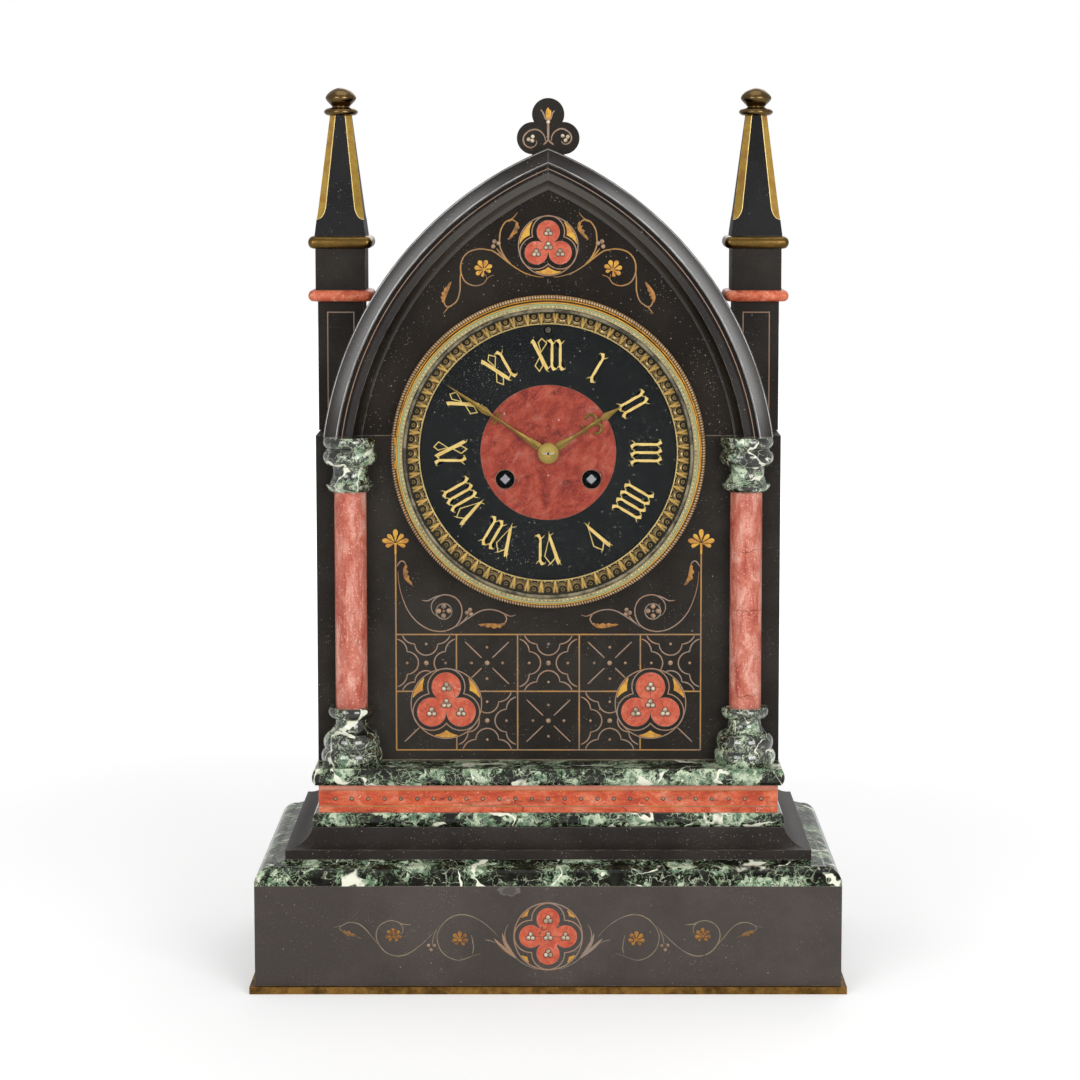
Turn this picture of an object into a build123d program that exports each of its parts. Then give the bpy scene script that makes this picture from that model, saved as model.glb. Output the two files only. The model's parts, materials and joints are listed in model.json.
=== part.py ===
"""Gothic slate and marble mantel clock: case, dial, hands, bezel and striking movement.

Millimetres. +X to the right of someone facing the dial, +Y to the back, +Z up.
The origin is the middle of the footprint, on the surface that the clock stands on.
"""
import os
from math import atan2, cos, degrees, hypot, pi, radians, sin, sqrt

from build123d import *

# Courses of the case, from the ground up
base_half_depth = 79.0
strip_overhang = 2.8
strip_height = 3.8
strip_width = 12.0
base_height = 53.1
base_wall = 14.0
base_top_wall = 12.0
moulding_height = 10.6
moulding_inset = 14.9
moulding_fillet = 2.2
moulding_roll_inset = 9.0
moulding_roll_height = 9.2
plinth_height = 14.2
plinth_fillet = 5.2
cavetto_inset = 13.3
lower_slab_height = 7.4
frieze_height = 14.8
frieze_inset = 3.3
upper_slab_height = 8.9
slab_roundness = 1.6
slab_back_gap = 5.0

# Walls of the case
case_height = 175.2
case_inset = 1.6
panel_setback = 24.3
panel_thickness = 12.0
wall_thickness = 10.0
body_back = 72.0
shoulder_thickness = 8.0
shoulder_width = 28.0

# Pointed arch: each side is an arc whose centre lies past the middle and below the springing
arch_foot = 13.9
arch_drop = 26.2
arch_radius = 191.5
arch_overhang = 3.5
roof_thickness = 10.0
arch_band_width = 7.6
arch_flat_width = 7.7
arch_cove_width = 4.7
arch_projection = 11.5
arch_band_slope = 1.6
arch_step = 1.8
arch_lip = 1.5
crest_flat_drop = 4.0

# Crest
crest_foot_half_width = 8.5
crest_foot_height = 12.0
crest_lobe_radius = 8.5
crest_side_lobe_x = 8.0
crest_side_lobe_rise = 13.0
crest_top_lobe_rise = 25.5
crest_thickness = 10.0
crest_setback = 1.5

# Pinnacles
pinnacle_inset = 11.5
pinnacle_y = 17.0
pier_half_width = 12.3
pier_height = 69.7
rouge_collar_half_width = 17.3
rouge_collar_height = 6.0
block_half_width = 13.4
block_height = 22.3
brass_collar_half_width = 17.2
brass_collar_height = 6.7
obelisk_bottom_half_width = 13.8
obelisk_top_half_width = 5.75
obelisk_height = 64.5
obelisk_corner_cut = 0.28
finial_flange_radius = 9.2
finial_ball_radius = 8.3
finial_neck_radius = 3.6
finial_flange_height = 4.6
finial_neck_height = 3.0
finial_ball_height = 7.5
collar_roundness = 1.4

# Engaged columns
column_inset = 18.5
column_dial_gap = 7.25
column_axis_gap = 5.5
shaft_radius = 8.5
column_base_height = 30.7
base_torus_radius = 16.4
base_torus_height = 8.6
base_groove_radius = 14.6
base_swell_radius = 15.2
base_shoulder_radius = 13.2
base_throat_radius = 9.6
base_neck_radius = 9.2
base_ring_radius = 12.7
base_top_radius = 11.8
capital_height = 29.5
capital_flare_radius = 12.1
capital_bowl_radius = 13.0
capital_neck_radius = 9.5
capital_throat_radius = 10.1
capital_torus_radius = 14.4
capital_groove_radius = 12.6
capital_groove_width = 0.4
abacus_radius = 14.3
abacus_top_radius = 13.5
abacus_height = 6.3

# Rouge inlays, set flush into pockets in the slate
inlay_thickness = 2.0
inlay_clearance = 0.1
tympanum_trefoil_rise = 100.5
tympanum_lobe_radius = 6.1
tympanum_lobe_offset = 7.3
panel_trefoil_x = 54.7
panel_trefoil_rise = 30.8
panel_lobe_radius = 7.8
panel_lobe_offset = 9.1
quatrefoil_rise = 26.4
quatrefoil_lobe_radius = 6.0
quatrefoil_lobe_offset = 9.1

# Dial, bezel and glass
dial_drop = 8.8
dial_plate_radius = 78.0
dial_plate_ledge = 3.0
dial_plate_thickness = 1.0
dial_margin = 4.0
dial_thickness = 2.2
dial_centre_radius = 36.0
dial_centre_gap = 0.1
hand_hole_radius = 4.0
winding_hole_radius = 5.0
regulator_margin = 3.4
regulator_hole_radius = 2.3
seat_width = 2.75
seat_gap = 0.4
seat_height = 3.1
seat_chamfer = 1.0
seat_lip = 0.5
bezel_wall = 1.8
bezel_dial_gap = 0.4
bezel_lip = 1.4
bezel_projection = 13.5
bezel_back_gap = 1.5
bezel_lip_thickness = 1.1
bezel_edge = 1.2
glass_gap = 0.2
glass_thickness = 2.0
sight_cover = 5.6
sight_ledge = 3.4
sight_gap = 0.4
sight_thickness = 0.8
sight_rim_height = 2.5
hinge_drop = 4.9
hinge_offset = 0.6
hinge_radius = 1.2
hinge_pin_radius = 0.6
hinge_length = 8.0
hinge_fixed_length = 4.0
hinge_gap = 0.3
hinge_clearance = 0.4

# Hands: they stand at nine minutes to two
minute_hand_angle = 304.0
hour_hand_angle = 57.5
minute_hand_tip_gap = 3.5
hour_hand_length = 45.7
hand_thickness = 0.8
hand_hub_radius = 4.4
hour_hand_lift = 1.4
hand_spacing = 1.0
hand_stem_half_width = 0.75
hand_root_half_width = 2.4
hand_waist_half_width = 2.0
hand_tip_half_width = 0.15
hand_spear_half_width = 2.0
hand_bar_half_width = 2.6
hand_bar_thickness = 0.9
hand_hook_radius = 2.8
hand_hook_band = 1.2
hand_hook_gap = 0.3
collet_radius = 5.4
collet_height = 2.3
collet_pin_radius = 0.45

# Movement plates and the layout of the arbors, seen from the front about the hand arbor
plate_margin = 4.5
plate_thickness = 2.2
front_plate_gap = 14.5
plate_spacing = 37.8
pillar_radius = 2.5
pillar_inset = 4.0
pillar_angles = (35.0, 145.0, 258.0, 282.0)
foot_radius = 2.5
foot_inset = 6.0
foot_angles = (60.0, 180.0, 300.0)
winding_x = 22.9
winding_drop = 14.3
third_x = 8.0
third_rise = 16.0
escape_rise = 29.0
anchor_distance = 12.5
second_angle = 75.0
hammer_x = -38.0
hammer_rise = 12.0
motion_distance = 12.0

# Arbors, wheels and pinions
running_clearance = 0.05
arbor_radius = 1.0
centre_arbor_radius = 1.2
winding_arbor_radius = 2.8
winding_square = 3.8
winding_square_length = 12.0
winding_pivot_radius = 1.5
square_setback = 1.2
great_wheel_teeth = 56
train_pinion_teeth = 8
centre_wheel_teeth = 64
third_wheel_teeth = 60
escape_teeth = 30
escape_radius = 9.0
cannon_teeth = 12
minute_wheel_teeth = 36
minute_pinion_teeth = 10
hour_wheel_teeth = 40
second_wheel_radius = 9.0
wheel_thickness = 1.5
great_wheel_thickness = 2.2
pinion_overlap = 0.6
tooth_addendum = 0.6
tooth_dedendum = 1.1
tooth_root_share = 0.24
tooth_tip_share = 0.10
drum_radius = 17.0
drum_wall = 1.5
drum_hub_radius = 8.0
going_drum_gap = 8.8
strike_drum_gap = 9.8
great_wheel_gap = 1.0
great_wheel_back_gap = 4.8
strike_wheel_gap = 2.8
centre_wheel_gap = 2.3
third_wheel_gap = 11.8
escape_wheel_gap = 2.5
second_wheel_gap = 21.8
cannon_radius = 2.2
hour_pipe_radius = 3.0
motion_gap = 1.1
ratchet_teeth = 16
ratchet_radius = 6.5
ratchet_thickness = 1.8
ratchet_gap = 1.2
click_reach = 12.0
click_length = 4.4
click_width = 2.4
click_gap = 0.8
count_wheel_radius = 12.0
count_wheel_gap = 0.8
count_notches = 12
count_notch_width = 1.6

# Escapement, pendulum and suspension
anchor_arm_reach = 11.5
anchor_arm_angle = 50.0
anchor_arm_width = 1.8
anchor_hub_radius = 2.4
anchor_nib_length = 1.8
crutch_gap = 1.0
crutch_thickness = 1.5
crutch_width = 3.0
crutch_length = 42.0
fork_clearance = 0.25
fork_prong = 1.3
fork_height = 4.0
pendulum_gap = 9.8
pendulum_rod_radius = 1.5
pendulum_length = 125.0
pendulum_eye_radius = 2.6
suspension_pin_radius = 1.0
bob_radius = 25.0
bob_thickness = 9.0
bob_rim = 2.0
rating_nut_radius = 4.0
rating_nut_height = 3.0
rod_tail = 10.0
cock_half_width = 15.0
cock_leg_width = 4.0
cock_leg_low = 8.5
cock_leg_high = 0.5
cock_bar_gap = 1.0
cock_bar_thickness = 3.0
cock_bar_high = 4.5
cock_post_half_width = 4.0
cock_post_margin = 5.0
regulator_radius = 1.3
regulator_square = 1.8
regulator_tail = 2.0

# Bell, hammer, straps and rear door
bell_x = 24.0
bell_drop = 4.0
bell_radius = 28.0
bell_depth = 16.0
bell_wall = 1.6
bell_crown = 2.0
bell_flat_radius = 6.0
bell_gap = 2.5
bell_post_radius = 2.5
bell_collar_radius = 4.5
bell_collar_height = 3.5
bell_nut_radius = 5.0
bell_nut_height = 3.5
hammer_strike_angle = 205.0
hammer_head_radius = 4.0
hammer_head_length = 6.0
hammer_gap = 1.0
hammer_rod_width = 2.2
hammer_arbor_radius = 1.5
hammer_tail_length = 10.0
hammer_tail_gap = 16.0
strap_inset = 5.0
strap_thickness = 5.0
strap_half_width = 4.0
screw_radius = 1.2
screw_head_radius = 2.2
screw_head_height = 1.6
screw_length = 9.0
rear_hole_radius = 62.0
rear_ring_lap = 12.0
rear_ring_rim = 10.0
rear_ring_thickness = 3.0
rear_door_inset = 6.0
rear_door_thickness = 1.8
rear_door_gap = 0.3
rear_hinge_offset = 3.0
rear_hinge_radius = 2.0
rear_hinge_pin_radius = 0.9
rear_hinge_length = 12.0
rear_hinge_fixed_length = 5.7
rear_knob_radius = 3.5
rear_knob_inset = 8.0
rear_knob_height = 3.4

# Levels that follow from the sizes above
base_z = strip_height
moulding_z = base_z + base_height
plinth_z = moulding_z + moulding_height
lower_slab_z = plinth_z + plinth_height
frieze_z = lower_slab_z + lower_slab_height
upper_slab_z = frieze_z + frieze_height
case_z = upper_slab_z + upper_slab_height
spring_z = case_z + case_height
dial_z = spring_z - dial_drop
arch_z = spring_z - arch_drop

# Depths: front planes of the courses, then the stack of the dial
plinth_front = moulding_inset - base_half_depth
slab_front = plinth_front + cavetto_inset
frieze_front = slab_front + frieze_inset
panel_front = slab_front + panel_setback
panel_back = panel_front + panel_thickness
dial_plate_front = panel_front - dial_plate_thickness
dial_face = dial_plate_front - dial_thickness
hour_hand_back = dial_face - hour_hand_lift
minute_hand_back = hour_hand_back - hand_thickness - hand_spacing
bezel_front = panel_front - bezel_projection
glass_front = bezel_front + bezel_lip_thickness + glass_gap
glass_back = glass_front + glass_thickness
front_plate_front = panel_front + front_plate_gap
front_plate_back = front_plate_front + plate_thickness
back_plate_front = front_plate_back + plate_spacing
back_plate_back = back_plate_front + plate_thickness
pendulum_y = back_plate_back + pendulum_gap
rear_ring_back = body_back + rear_ring_thickness
door_front = rear_ring_back + rear_door_gap

# Radii of the dial and bezel, and of the plates and rings of the movement
dial_hole_radius = dial_plate_radius - dial_plate_ledge
dial_radius = dial_plate_radius - dial_margin
bezel_inner_radius = dial_plate_radius + bezel_dial_gap
bezel_lip_radius = bezel_inner_radius - bezel_lip
bezel_radius = bezel_inner_radius + bezel_wall
seat_inner_radius = bezel_radius + seat_gap
seat_outer_radius = seat_inner_radius + seat_width
sight_inner_radius = dial_radius - sight_cover
regulator_rise = sight_inner_radius - regulator_margin
minute_hand_length = sight_inner_radius - minute_hand_tip_gap
anchor_rise = escape_rise + anchor_distance
plate_radius = anchor_rise + plate_margin
rear_ring_inner_radius = rear_hole_radius - rear_ring_lap
rear_ring_outer_radius = rear_hole_radius + rear_ring_rim
rear_door_radius = rear_ring_outer_radius - rear_door_inset
drum_length = plate_spacing - going_drum_gap - great_wheel_gap - great_wheel_thickness - great_wheel_back_gap

# Widths, from the dial out to the base
column_x = seat_outer_radius + column_dial_gap + capital_torus_radius
column_y = panel_front - column_axis_gap
case_half_width = column_x + column_inset
slab_half_width = case_half_width + case_inset
frieze_half_width = slab_half_width - frieze_inset
plinth_half_width = slab_half_width + cavetto_inset
base_half_width = plinth_half_width + moulding_inset
pinnacle_x = case_half_width - pinnacle_inset
arch_offset = sqrt(arch_radius ** 2 - arch_drop ** 2) - column_x - arch_foot
roof_radius = arch_radius - arch_overhang
apex_z = arch_z + sqrt(roof_radius ** 2 - arch_offset ** 2)
crest_z = apex_z - crest_flat_drop

# Heights of the pinnacle pieces
rouge_collar_z = spring_z + pier_height
block_z = rouge_collar_z + rouge_collar_height
brass_collar_z = block_z + block_height
obelisk_z = brass_collar_z + brass_collar_height
finial_z = obelisk_z + obelisk_height

# Places of the arbors: (X, Z) in the row's frame
centre_at = (0.0, dial_z)
going_at = (winding_x, dial_z - winding_drop)
strike_at = (-winding_x, dial_z - winding_drop)
winding_distance = hypot(winding_x, winding_drop)
third_at = (third_x, dial_z + third_rise)
escape_at = (0.0, dial_z + escape_rise)
anchor_at = (0.0, dial_z + anchor_rise)
second_at = (
    strike_at[0] + winding_distance * cos(radians(second_angle)),
    strike_at[1] + winding_distance * sin(radians(second_angle)),
)
motion_at = (0.0, dial_z - motion_distance)
hammer_at = (hammer_x, dial_z + hammer_rise)
bell_at = (bell_x, dial_z - bell_drop)
regulator_at = (0.0, dial_z + regulator_rise)
reach = 2.0 * (base_half_width + base_half_depth)


def block(x0, x1, y0, y1, z0, z1):
    """A box between two corners."""
    middle = Pos((x0 + x1) / 2, (y0 + y1) / 2, (z0 + z1) / 2)
    return middle * Box(x1 - x0, y1 - y0, z1 - z0)


def outline(start, *steps):
    """A closed face: a step of two numbers is a line, one of four is an arc through its first pair."""
    edges = []
    here = start
    for step in steps:
        end = step[-2:]
        if len(step) == 4:
            edges.append(ThreePointArc(here, step[:2], end))
        else:
            edges.append(Line(here, end))
        here = end
    edges.append(Line(here, start))
    return make_face(edges)


def plate(sketch, front, back):
    """Extrude a drawing made in X and Z from its front plane to its back plane."""
    plane = Plane(origin=(0, front, 0), x_dir=(1, 0, 0), z_dir=(0, -1, 0))
    return extrude(plane * sketch, amount=front - back)


def rod(at, radius, front, back):
    """A round bar along Y at an (X, Z) place."""
    return plate(Pos(*at) * Circle(radius), front, back)


def turned_y(at, start, *steps):
    """A solid turned about a Y axis, from a profile of (radius, Y)."""
    return Pos(at[0], 0, at[1]) * revolve(outline(start, *steps), Axis.Y)


def turned_z(x, y, start, *steps):
    """A solid turned about a Z axis, from a profile of (radius, Z)."""
    return Pos(x, y, 0) * revolve(Plane.XZ * outline(start, *steps), Axis.Z)


def course(half_width, front, back, *steps):
    """A slab with a moulding on its front and side edges, given as insets and heights, mitred at the corners."""
    def placed(step, origin, sign):
        return tuple(origin + sign * value if index % 2 == 0 else value for index, value in enumerate(step))

    low, high = steps[0][-1], steps[-1][-1]
    fronts = [placed(step, front, 1) for step in steps]
    along = Plane.YZ * outline(fronts[0], *fronts[1:], (back, high), (back, low))
    sides = [placed(step, half_width, -1) for step in steps]
    half = outline((0.0, low), *sides, (0.0, high))
    across = Plane.XZ * (half + mirror(half, Plane.YZ))
    return extrude(along, amount=reach, both=True) & extrude(across, amount=reach, both=True)


def foil(lobes, radius, offset, turn):
    """A trefoil or quatrefoil: round lobes about a middle, filled between their centres."""
    places = [turn + 360 * index / lobes for index in range(lobes)]
    centres = [(offset * cos(radians(angle)), offset * sin(radians(angle))) for angle in places]
    shape = make_face(Polyline(*centres, close=True))
    for centre in centres:
        shape += Pos(*centre) * Circle(radius)
    return shape


def pointed_arch(radius):
    """The area under a pointed arch, above the springing line."""
    lens = Pos(arch_offset, arch_z) * Circle(radius) & Pos(-arch_offset, arch_z) * Circle(radius)
    return lens & Pos(0, spring_z + radius / 2) * Rectangle(2 * radius, radius)


def toothed(teeth, root, tip, toward, gap=False):
    """A toothed disc: a tooth, or a gap, points at an angle in degrees."""
    pitch = 2 * pi / teeth
    start = radians(toward) + (pitch / 2 if gap else 0.0)
    points = []
    for index in range(teeth):
        middle = start + index * pitch
        flank = ((root, -tooth_root_share), (tip, -tooth_tip_share))
        flank += tuple((r, -share) for r, share in reversed(flank))
        points += [(r * cos(middle + share * pitch), r * sin(middle + share * pitch)) for r, share in flank]
    return make_face(Polyline(*points, close=True))


def gear(at, teeth, module, front, back, toward, gap=False):
    """A clock wheel or pinion with straight-sided teeth and room between them."""
    pitch_radius = module * teeth / 2
    shape = toothed(
        teeth, pitch_radius - tooth_dedendum * module, pitch_radius + tooth_addendum * module, toward, gap
    )
    return plate(Pos(*at) * shape, front, back)


def angle_to(here, there):
    """The direction from one arbor to another, in degrees from +X towards +Z."""
    return degrees(atan2(there[1] - here[1], there[0] - here[0]))


def distance(here, there):
    return hypot(there[0] - here[0], there[1] - here[1])


def mirrored(shape):
    return mirror(shape, Plane.YZ)


def save(name, *shapes):
    """Write one node: a solid, or a group of separate solids."""
    solids = [solid for shape in shapes for solid in shape.solids()]
    export_step(solids[0] if len(solids) == 1 else Compound(solids), f"parts/{name}.step")


def base_courses():
    strip_half_width = base_half_width + strip_overhang
    strip_half_depth = base_half_depth + strip_overhang
    strip = Rectangle(2 * strip_half_width, 2 * strip_half_depth)
    strip -= Rectangle(2 * (strip_half_width - strip_width), 2 * (strip_half_depth - strip_width))
    save("foot_strip", extrude(strip, amount=strip_height))

    base = block(-base_half_width, base_half_width, -base_half_depth, base_half_depth, base_z, moulding_z)
    inner_x = base_half_width - base_wall
    inner_y = base_half_depth - base_wall
    base -= block(-inner_x, inner_x, -inner_y, inner_y, base_z, moulding_z - base_top_wall)
    base -= plate(base_quatrefoil(inlay_clearance), -base_half_depth, inlay_thickness - base_half_depth)
    save("base_block", base)

    roll_top = moulding_z + moulding_roll_height
    moulding = course(
        base_half_width, -base_half_depth, base_half_depth,
        (0.0, moulding_z),
        (0.0, moulding_z + moulding_fillet),
        (0.24 * moulding_roll_inset, roll_top - 0.28 * moulding_roll_height, moulding_roll_inset, roll_top),
        (moulding_inset, plinth_z),
    )
    save("base_moulding", moulding)

    cavetto_z = plinth_z + plinth_fillet
    cavetto_rise = plinth_height - plinth_fillet
    plinth = course(
        plinth_half_width, plinth_front, base_half_depth,
        (0.0, plinth_z),
        (0.0, cavetto_z),
        (0.7 * cavetto_inset, cavetto_z + 0.3 * cavetto_rise, cavetto_inset, lower_slab_z),
    )
    save("stepped_plinth", plinth)

    slabs = []
    for low, high in ((lower_slab_z, frieze_z), (upper_slab_z, case_z)):
        slab = course(
            slab_half_width, slab_front, base_half_depth - slab_back_gap,
            (slab_roundness, low),
            (0.0, (low + high) / 2, slab_roundness, high),
        )
        slabs.append(slab)
    save("green_slabs", *slabs)

    frieze_back = base_half_depth - slab_back_gap - frieze_inset
    frieze = block(-frieze_half_width, frieze_half_width, frieze_front, frieze_back, frieze_z, upper_slab_z)
    save("rouge_frieze", frieze)


def base_quatrefoil(extra):
    shape = foil(4, quatrefoil_lobe_radius + extra, quatrefoil_lobe_offset, 0)
    return Pos(0, base_z + quatrefoil_rise) * shape


def tympanum_trefoil(extra):
    shape = foil(3, tympanum_lobe_radius + extra, tympanum_lobe_offset, 90)
    return Pos(0, spring_z + tympanum_trefoil_rise) * shape


def panel_trefoil(extra):
    shape = foil(3, panel_lobe_radius + extra, panel_lobe_offset, 90)
    return Pos(panel_trefoil_x, case_z + panel_trefoil_rise) * shape


def case_walls():
    dial_hole = rod(centre_at, dial_hole_radius, panel_front, panel_back)
    pocket_floor = panel_front + inlay_thickness
    front = block(-case_half_width, case_half_width, panel_front, panel_back, case_z, spring_z) - dial_hole
    pocket = plate(panel_trefoil(inlay_clearance), panel_front, pocket_floor)
    save("front_panel", front - pocket - mirrored(pocket))

    tympanum = plate(pointed_arch(roof_radius), panel_front, panel_back) - dial_hole
    tympanum -= plate(tympanum_trefoil(inlay_clearance), panel_front, pocket_floor)
    tympanum -= block(-reach, reach, -reach, reach, crest_z, crest_z + reach)
    save("tympanum_panel", tympanum)

    panel_inlay = plate(panel_trefoil(0.0), panel_front, pocket_floor)
    base_inlay = plate(base_quatrefoil(0.0), -base_half_depth, inlay_thickness - base_half_depth)
    tympanum_inlay = plate(tympanum_trefoil(0.0), panel_front, pocket_floor)
    save("rouge_inlays", tympanum_inlay, panel_inlay, mirrored(panel_inlay), base_inlay)

    back_panel_front = body_back - wall_thickness
    inner_x = case_half_width - wall_thickness
    shoulder_z = spring_z - shoulder_thickness
    side = block(inner_x, case_half_width, panel_back, back_panel_front, case_z, shoulder_z)
    save("side_panels", side, mirrored(side))

    shoulder = block(
        case_half_width - shoulder_width, case_half_width, panel_back, back_panel_front, shoulder_z, spring_z
    )
    save("shoulder_slabs", shoulder, mirrored(shoulder))

    rear = Pos(0, (case_z + spring_z) / 2) * Rectangle(2 * case_half_width, case_height)
    rear += pointed_arch(roof_radius)
    rear -= Pos(*centre_at) * Circle(rear_hole_radius)
    save("back_panel", plate(rear, back_panel_front, body_back))

    roof = plate(pointed_arch(roof_radius), panel_back, back_panel_front)
    roof -= plate(pointed_arch(roof_radius - roof_thickness), panel_back, back_panel_front)
    for side in (-1, 1):
        roof -= pier(side) + rouge_collar_space(side)
    save("arch_roof", roof)


def arch():
    band = arch_radius - arch_band_width
    flat = band - arch_flat_width
    cove = flat - arch_cove_width
    crown = panel_front - arch_projection
    ring = turned_y(
        (arch_offset, arch_z),
        (arch_radius, panel_front),
        (arch_radius, crown + arch_band_slope),
        (band, crown),
        (band, crown + arch_step),
        (flat, crown + arch_step),
        (flat, crown + 2 * arch_step),
        ((flat + cove) / 2 + arch_lip / 2, panel_front - 2 * arch_lip, cove, panel_front - arch_lip / 2),
        (cove, panel_front),
    )
    left = ring & block(-reach, 0.0, -reach, reach, spring_z, spring_z + reach)
    save("arch_mouldings", left, mirrored(left))

    crest_back = panel_back - crest_setback
    crest = Pos(0, crest_z + crest_foot_height / 2) * Rectangle(2 * crest_foot_half_width, crest_foot_height)
    for side in (-1, 1):
        crest += Pos(side * crest_side_lobe_x, crest_z + crest_side_lobe_rise) * Circle(crest_lobe_radius)
    crest += Pos(0, crest_z + crest_top_lobe_rise) * Circle(crest_lobe_radius)
    crest += Pos(0, crest_z + (crest_side_lobe_rise + crest_top_lobe_rise) / 2) * Rectangle(
        crest_lobe_radius, crest_top_lobe_rise - crest_side_lobe_rise
    )
    crest &= Pos(0, crest_z + reach / 2) * Rectangle(reach, reach)
    save("crest", plate(crest, crest_back - crest_thickness, crest_back))


def square_piece(side, half_width, low, high):
    """A square block of a pinnacle."""
    x = side * pinnacle_x
    return block(x - half_width, x + half_width, pinnacle_y - half_width, pinnacle_y + half_width, low, high)


def pier(side):
    return square_piece(side, pier_half_width, spring_z, rouge_collar_z)


def rouge_collar_space(side):
    return square_piece(side, rouge_collar_half_width, rouge_collar_z, block_z)


def cut_square(half_width, z):
    """A square with its corners cut off, which becomes one end of an obelisk."""
    cut = obelisk_corner_cut * half_width
    corner = [(half_width, half_width - cut), (half_width - cut, half_width)]
    points = []
    for turn in range(4):
        c, s = cos(radians(90 * turn)), sin(radians(90 * turn))
        points += [(x * c - y * s, x * s + y * c) for x, y in corner]
    return Pos(0, 0, z) * make_face(Polyline(*points, close=True))


def round_collar(side, half_width, low, high):
    """A square collar with a half-round edge."""
    collar = square_piece(side, half_width, low, high)
    return fillet(collar.edges().filter_by(Plane.XY), collar_roundness)


def pinnacles():
    sides = (-1, 1)
    rouge = (rouge_collar_half_width, rouge_collar_z, block_z)
    brass = (brass_collar_half_width, brass_collar_z, obelisk_z)
    save("piers", *[pier(side) for side in sides])
    save("rouge_collars", *[round_collar(side, *rouge) for side in sides])
    save("pinnacle_blocks", *[square_piece(side, block_half_width, block_z, brass_collar_z) for side in sides])
    save("brass_collars", *[round_collar(side, *brass) for side in sides])

    foot = cut_square(obelisk_bottom_half_width, obelisk_z)
    head = cut_square(obelisk_top_half_width, finial_z)
    obelisk = loft([foot, head])
    save("obelisks", *[Pos(side * pinnacle_x, pinnacle_y, 0) * obelisk for side in sides])

    neck_z = finial_z + finial_flange_height
    ball_z = neck_z + finial_neck_height
    ball_top = ball_z + finial_ball_height
    flange_inner = finial_flange_radius - finial_flange_height / 2
    ball_inner = finial_ball_radius - finial_ball_height / 2
    finials = []
    for side in sides:
        finial = turned_z(
            side * pinnacle_x, pinnacle_y,
            (0.0, finial_z),
            (flange_inner, finial_z),
            (finial_flange_radius, (finial_z + neck_z) / 2, flange_inner, neck_z),
            (finial_neck_radius, neck_z),
            (finial_neck_radius, ball_z),
            (ball_inner, ball_z),
            (finial_ball_radius, (ball_z + ball_top) / 2, ball_inner, ball_top),
            (0.0, ball_top),
        )
        finials.append(finial)
    save("finials", *finials)


def columns():
    keep = block(-reach, reach, -reach, panel_front, 0.0, spring_z)
    base_top = case_z + column_base_height
    capital_z = spring_z - capital_height
    torus_top = case_z + base_torus_height
    upper_height = column_base_height - base_torus_height
    abacus_z = spring_z - abacus_height
    torus_z = capital_z + 0.47 * capital_height
    bases, shafts, capitals = [], [], []

    def up(share):
        """A height in the upper part of the column's base."""
        return torus_top + share * upper_height

    for side in (-1, 1):
        place = (side * column_x, column_y)
        base = turned_z(
            *place,
            (0.0, case_z),
            (base_swell_radius, case_z),
            (base_torus_radius, case_z + base_torus_height / 2, base_groove_radius, torus_top),
            (base_swell_radius, up(0.18), base_shoulder_radius, up(0.37)),
            (base_throat_radius, up(0.52), base_neck_radius, up(0.7)),
            (base_ring_radius, up(0.86), base_top_radius, base_top),
            (0.0, base_top),
        )
        bases.append(base & keep)
        shafts.append(turned_z(*place, (0.0, base_top), (shaft_radius, base_top), (shaft_radius, capital_z),
                               (0.0, capital_z)) & keep)
        capital = turned_z(
            *place,
            (0.0, capital_z),
            (shaft_radius, capital_z),
            (capital_flare_radius, capital_z + 0.07 * capital_height,
             capital_bowl_radius, capital_z + 0.15 * capital_height),
            (capital_neck_radius, capital_z + 0.32 * capital_height, capital_throat_radius, torus_z),
            (capital_torus_radius, (torus_z + abacus_z) / 2, capital_groove_radius, abacus_z - capital_groove_width),
            (capital_groove_radius, abacus_z),
            (abacus_radius, abacus_z + abacus_height / 2, abacus_top_radius, spring_z),
            (0.0, spring_z),
        )
        capitals.append(capital & keep)
    save("column_bases", *bases)
    save("column_shafts", *shafts)
    save("capitals", *capitals)


def dial():
    winding = [Pos(*at) * Circle(winding_hole_radius) for at in (going_at, strike_at)]
    regulator = Pos(*regulator_at) * Circle(regulator_hole_radius)
    hand_hole = Pos(*centre_at) * Circle(hand_hole_radius)

    ring = Pos(*centre_at) * (Circle(dial_radius) - Circle(dial_centre_radius)) - regulator
    save("dial_ring", plate(ring, dial_face, dial_plate_front))

    middle = Pos(*centre_at) * Circle(dial_centre_radius - dial_centre_gap) - hand_hole
    for hole in winding:
        middle -= hole
    save("dial_centre", plate(middle, dial_face, dial_plate_front))

    backing = Pos(*centre_at) * Circle(dial_plate_radius) - hand_hole
    backing -= Pos(*regulator_at) * Circle(regulator_radius + running_clearance)
    for hole in winding:
        backing -= hole
    dial_plate = plate(backing, dial_plate_front, panel_front)
    for angle in foot_angles:
        foot_at = around(plate_radius - foot_inset, angle)
        dial_plate += rod(foot_at, foot_radius, panel_front, front_plate_front)
    save("dial_plate", dial_plate)


def around(radius, angle):
    """A place on a circle about the hand arbor."""
    return (radius * cos(radians(angle)), dial_z + radius * sin(radians(angle)))


def hinge_barrel(x, y, radius, low, high):
    return Pos(x, y, dial_z + (low + high) / 2) * Cylinder(radius, high - low)


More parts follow.
